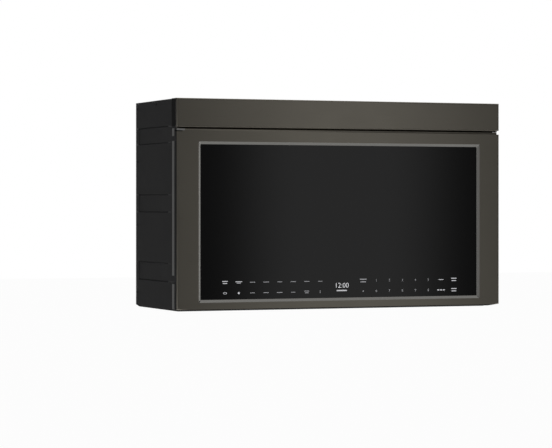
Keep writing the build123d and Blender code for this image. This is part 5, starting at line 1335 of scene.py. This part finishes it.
def from_high(start: float, end: float) -> Reach:
    """Return the reach between two distances from a node's highest side."""
    return 1.0, start, 1.0, end


def across_middle(half: float) -> Reach:
    """Return the reach to a distance on both sides of a node's middle."""
    return 0.5, -half, 0.5, half


def between(start: float, end: float) -> Reach:
    """Return the reach from a distance off the lowest side to one off the highest side."""
    return 0.0, start, 1.0, end


@dataclass(frozen=True)
class Part:
    """Part of a CAD node with its own finish, with a reach along each axis.

    A reach holds two planes, each as a share of the node's size and a distance in millimetres.
    """

    finish: Finish
    x: Reach = between(-1, 1)
    depth: Reach = between(-1, 1)
    z: Reach = between(-1, 1)

    def zone(self, node: str) -> Zone:
        """Measure the part in a node.

        Args:
            node: the node.

        Returns:
            The part's zone.
        """
        spans = []
        for low, high, reach in zip(*bounds_mm(node), (self.x, self.depth, self.z)):
            share, gap, far_share, far_gap = reach
            spans.append((low + share * (high - low) + gap, low + far_share * (high - low) + far_gap))
        return Zone(self.finish, *spans)


@dataclass(frozen=True)
class Electrics:
    """Boards, coils and motors, whose parts get their own finishes."""

    control_board: tuple[Part, ...] = (
        Part(Finishes.BOARD, from_high(-4.7, -2.9), between(2.5, -2.5), between(2.5, -2.5)),
        Part(Finishes.BOARD_PART, between(-1, -4.8), between(2.5, -2.5), between(2.5, -2.5)),
        Part(Finishes.WHITE_PLASTIC, between(-1, -4.8), between(2.5, -2.5), from_low(8, 30)),
    )
    line_filter: tuple[Part, ...] = (
        Part(Finishes.BOARD_CAN, from_high(-32, 0), z=between(7.7, 1)),
        Part(Finishes.COPPER_COIL, from_low(0, 42), from_low(0, 44), between(7.7, 1)),
        Part(Finishes.WHITE_PLASTIC, from_low(8, 46), from_high(-30, -12), between(7.7, 1)),
        Part(Finishes.WHITE_PLASTIC, z=from_low(-1, 5.9)),
    )
    touch_board: tuple[Part, ...] = (
        Part(Finishes.BOARD_PART, depth=between(1.7, 1)),
        Part(Finishes.WHITE_PLASTIC, from_high(-93, -59), between(1.7, 1)),
    )
    magnetron: tuple[Part, ...] = (
        Part(Finishes.ALUMINIUM, across_middle(42.9), z=from_low(38, 88)),
        Part(Finishes.FERRITE, across_middle(28), between(10, -10), from_low(26.1, 38)),
        Part(Finishes.FERRITE, across_middle(28), between(10, -10), from_low(88, 99.9)),
        Part(Finishes.CERAMIC, across_middle(10), z=from_low(-1, 12)),
        Part(Finishes.GREY_PLASTIC, across_middle(11), from_low(-1, 13.9), from_high(-20, -5)),
    )
    transformer: tuple[Part, ...] = (
        Part(Finishes.COPPER_COIL, across_middle(30.5), from_low(-1, 9.9), between(12, 0)),
        Part(Finishes.COPPER_COIL, across_middle(30.5), from_high(-9.9, 1), between(12, 0)),
        Part(Finishes.ZINC, z=from_low(-1, 2.1)),
    )
    vent_motor: tuple[Part, ...] = (
        Part(Finishes.BARE_STEEL, from_low(-1, 11.9)),
        Part(Finishes.BARE_STEEL, from_high(-11.9, 1)),
        Part(Finishes.ZINC, across_middle(20.5), z=from_low(-1, 18)),
    )
    fan_motor: tuple[Part, ...] = (
        Part(Finishes.COPPER_COIL, across_middle(14.5), z=from_low(-1, 19.9)),
        Part(Finishes.BARE_STEEL, across_middle(9.5), from_high(-7.1, 1)),
    )
    charcoal: tuple[Part, ...] = (
        Part(Finishes.CHARCOAL, between(6.1, -6.1), between(2, -2), between(6.1, -6.1)),
    )

    def build(self) -> None:
        """Dress every electric part, and the charcoal filter, by zones."""
        dressed = (
            ("control_board", Finishes.GREY_PLASTIC, self.control_board),
            ("line_filter_board", Finishes.BOARD, self.line_filter),
            ("touch_board", Finishes.BOARD, self.touch_board),
            ("magnetron", Finishes.BARE_STEEL, self.magnetron),
            ("hv_transformer", Finishes.CORE, self.transformer),
            ("blower_motor", Finishes.MOTOR_SHELL, self.vent_motor),
            ("cooling_fan_motor", Finishes.CORE, self.fan_motor),
            ("charcoal_filter", Finishes.BLACK_PLASTIC, self.charcoal),
        )
        for node, finish, parts in dressed:
            dress_node(node, finish, [part.zone(node) for part in parts])


# ---- Studio --------------------------------------------------------------------------------------
@dataclass
class Studio:
    """Camera, lamps, floor and surroundings; lengths are in metres, and the sensor in millimetres."""

    image_width: float = 552.0
    focal_pixels: float = 2250.2
    horizon_pixel: float = 204.64
    image_middle: float = 224.0
    yaw: float = math.radians(22.06)
    camera_x: float = -1964.8 * MM
    camera_back: float = -4463.4 * MM
    camera_height: float = 226.95 * MM
    sensor: float = 36.0
    clip: Span = (0.05, 60.0)
    floor_z: float = -0.95
    floor_glow: float = 0.95
    floor_reach: float = 30.0
    world_rise: Span = (-0.1, 0.35)
    studio_level: float = 0.3
    wall_distance: float = 2.0
    wall_x: Span = (-4.0, 5.0)
    wall_z: Span = (-1.0, 2.5)
    column_level: float = 0.395
    column_rise: Span = (0.371, 0.786)
    column_fall: Span = (1.42, 0.98)
    left_level: float = 0.1
    left_rise: Span = (0.0, -1.0)
    right_level: float = 0.085
    right_fall: Span = (3.4, 1.5)
    flags: tuple[tuple, ...] = (
        ("left_flag", (-3.6, -1.6), (-2.6, 3.4), 0.1),
        ("back_left_flag", (-2.7, 3.1), (-0.5, 2.2), 0.1),
        ("right_front_flag", (3.2, -2.1), (2.95, -0.65), 0.04),
        ("right_flag", (2.95, -0.65), (2.85, 0.4), 0.56),
        ("far_right_flag", (2.85, 0.4), (2.7, 3.0), 0.05),
        ("back_right_flag", (2.7, 3.0), (0.7, 2.4), 0.07),
    )
    flag_height: float = 3.7
    below_level: float = 0.3
    below_corner: tuple[float, float, float] = (-1.6, -1.5, -0.65)
    below_size: tuple[float, float] = (3.2, 1.36)
    lamps: tuple[tuple, ...] = (
        ("key_lamp", (-1.2, -2.05, 1.6), 1.2, 26.0),
        ("top_lamp", (0.3, -0.3, 2.2), 2.0, 18.0),
    )
    lamp_target: tuple[float, float, float] = (0.0, 0.0, 0.2)

    def build(self) -> None:
        """Set up the camera, lights, floor, walls and world."""
        self.add_camera()
        self.add_floor()
        self.add_world()
        self.add_front_wall()
        self.add_flags()
        for lamp in self.lamps:
            self.add_lamp(*lamp)
        bpy.context.scene.view_settings.view_transform = "Standard"

    def add_camera(self) -> None:
        """Place the camera at the photograph's viewpoint."""
        data = bpy.data.cameras.new("camera")
        data.sensor_width = self.sensor
        data.lens = self.focal_pixels * self.sensor / self.image_width
        data.shift_y = (self.horizon_pixel - self.image_middle) / self.image_width
        data.clip_start, data.clip_end = self.clip
        camera = bpy.data.objects.new("camera", data)
        camera.location = (self.camera_x, FRONT_Y + self.camera_back, self.camera_height)
        camera.rotation_euler = (math.pi / 2, 0.0, -self.yaw)
        bpy.context.scene.collection.objects.link(camera)
        bpy.context.scene.camera = camera

    def add_floor(self) -> None:
        """Add a pale floor below the object that is seen from above only."""
        reach = self.floor_reach
        corner, across, along = Vector((-reach, -reach, self.floor_z)), Vector((2, 0, 0)), Vector((0, 2, 0))
        floor, graph = self.add_plane("floor", corner, across * reach, along * reach)
        pale = graph.node("BsdfPrincipled", {}, {"Base Color": (0.85, 0.85, 0.85, 1.0), "Roughness": 0.9})
        white = graph.node("Emission", {}, {"Color": WHITE, "Strength": 1.0})
        lit = graph.node("MixShader", {}, {0: self.seen_directly(graph) * self.floor_glow, 1: pale, 2: white})
        clear = graph.node("BsdfTransparent", {}, {})
        below = graph.node("NewGeometry", {}, {}, "Backfacing")
        graph.node_output(graph.node("MixShader", {}, {0: below, 1: lit, 2: clear}))

    @staticmethod
    def seen_directly(graph: Graph) -> Signal:
        """Return 1 for rays by which the background is seen, straight or in metal and glass, else 0."""
        camera, glossy, clear = (
            graph.node("LightPath", {}, {}, f"Is {kind} Ray") for kind in ("Camera", "Glossy", "Transmission")
        )
        return camera.most(glossy).most(clear)

    def add_world(self) -> None:
        """Add white surroundings behind the object and a dimmer studio before it."""
        world = bpy.data.worlds.new("studio")
        bpy.context.scene.world = world
        world.use_nodes = True
        graph = Graph(world.node_tree)
        direction = graph.node("TexCoord", {}, {}, "Generated")
        along = graph.node("SeparateXYZ", {}, {0: direction}, "Y")
        start, end = self.world_rise
        behind = graph.node("MapRange", {}, {"Value": along, "From Min": start, "From Max": end})
        camera = graph.node("LightPath", {}, {}, "Is Camera Ray")
        level = camera.most(behind * (1.0 - self.studio_level) + self.studio_level)
        light = graph.node("Background", {}, {"Color": WHITE, "Strength": level})
        made = graph.tree.nodes.new("ShaderNodeOutputWorld")
        graph.tree.links.new(light.socket, made.inputs["Surface"])

    def add_front_wall(self) -> None:
        """Add the studio's front wall with its soft bright column, which the glass and the metal mirror."""
        (left, right), (low, high) = self.wall_x, self.wall_z
        corner = Vector((left, FRONT_Y - self.wall_distance, low))
        across, along = Vector((right - left, 0, 0)), Vector((0, 0, high - low))
        wall, graph = self.add_plane("front_wall", corner, across, along)
        x, _, _ = graph.axes()
        edges = (self.column_rise, self.column_fall, self.left_rise, self.right_fall)
        rise, fall, far_left, far_right = (self.ramp(graph, x, *edge) for edge in edges)
        level = rise * fall * self.column_level + far_left * self.left_level + far_right * self.right_level
        self.shine(wall, graph, level)

    def add_flags(self) -> None:
        """Add the grey flags, which keep the side panels, the door's edges and the base dark."""
        for name, start, end, level in self.flags:
            corner = Vector((*start, self.floor_z))
            across = Vector((end[0] - start[0], end[1] - start[1], 0))
            flag, graph = self.add_plane(name, corner, across, Vector((0, 0, self.flag_height)))
            self.shine(flag, graph, level)
        width, depth = self.below_size
        across, along = Vector((width, 0, 0)), Vector((0, depth, 0))
        below, graph = self.add_plane("below_flag", Vector(self.below_corner), across, along)
        below.visible_shadow = False
        self.shine(below, graph, self.below_level)

    @staticmethod
    def ramp(graph: Graph, x: Signal, start: float, end: float) -> Signal:
        """Return a soft step in X from 0 at a start to 1 at an end."""
        return graph.node("MapRange", {"interpolation_type": "SMOOTHERSTEP"}, {0: x, 1: start, 2: end})

    @staticmethod
    def shine(plane: Object, graph: Graph, level: Operand) -> None:
        """Let a plane glow, and let the camera look through it.

        Args:
            plane: the plane.
            graph: its material's graph.
            level: how brightly it glows.
        """
        graph.node_output(graph.node("Emission", {}, {"Color": WHITE, "Strength": level}))
        plane.visible_camera = False

    @staticmethod
    def add_plane(name: str, corner: Vector, across: Vector, along: Vector) -> tuple[Object, Graph]:
        """Add one plane of the studio.

        Args:
            name: the name of the plane and of its material.
            corner: one corner.
            across: the edge from that corner to the next.
            along: the edge from that corner to the one before.

        Returns:
            The plane and the empty graph of its material.
        """
        bm = bmesh.new()
        size = Matrix((across, along, across.cross(along).normalized())).transposed().to_4x4()
        place = Matrix.Translation(corner + (across + along) / 2) @ size
        bmesh.ops.create_grid(bm, x_segments=1, y_segments=1, size=0.5, matrix=place)
        mesh = bpy.data.meshes.new(name)
        bm.to_mesh(mesh)
        bm.free()
        plane = bpy.data.objects.new(name, mesh)
        bpy.context.scene.collection.objects.link(plane)
        material = bpy.data.materials.new(name)
        material.use_nodes = True
        mesh.materials.append(material)
        return plane, Graph(material.node_tree)

    def add_lamp(self, name: str, place: tuple[float, float, float], width: float, power: float) -> None:
        """Add one soft lamp, which lights without showing as a shape in the metal.

        Args:
            name: its name.
            place: where it stands.
            width: its width and height in metres.
            power: its power in watts.
        """
        data = bpy.data.lights.new(name, "AREA")
        data.shape, data.size, data.size_y, data.energy = "RECTANGLE", width, width, power
        lamp = bpy.data.objects.new(name, data)
        lamp.location = place
        lamp.rotation_euler = (Vector(self.lamp_target) - Vector(place)).to_track_quat("-Z", "Y").to_euler()
        lamp.visible_glossy = False
        bpy.context.scene.collection.objects.link(lamp)


def main() -> None:
    """Dress the frame, add the pieces and set up the studio."""
    logging.basicConfig(level=logging.INFO, format="%(name)s: %(message)s")
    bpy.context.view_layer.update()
    for finish, nodes in NODE_FINISHES.items():
        for node in nodes:
            dress_node(node, finish)
    for assembly in (Case(), Fascia(), Door(), OvenFittings(), Underside(), Electrics()):
        assembly.build()
        LOG.info("built %s", type(assembly).__name__)
    Studio().build()


if __name__ == "__main__":
    main()
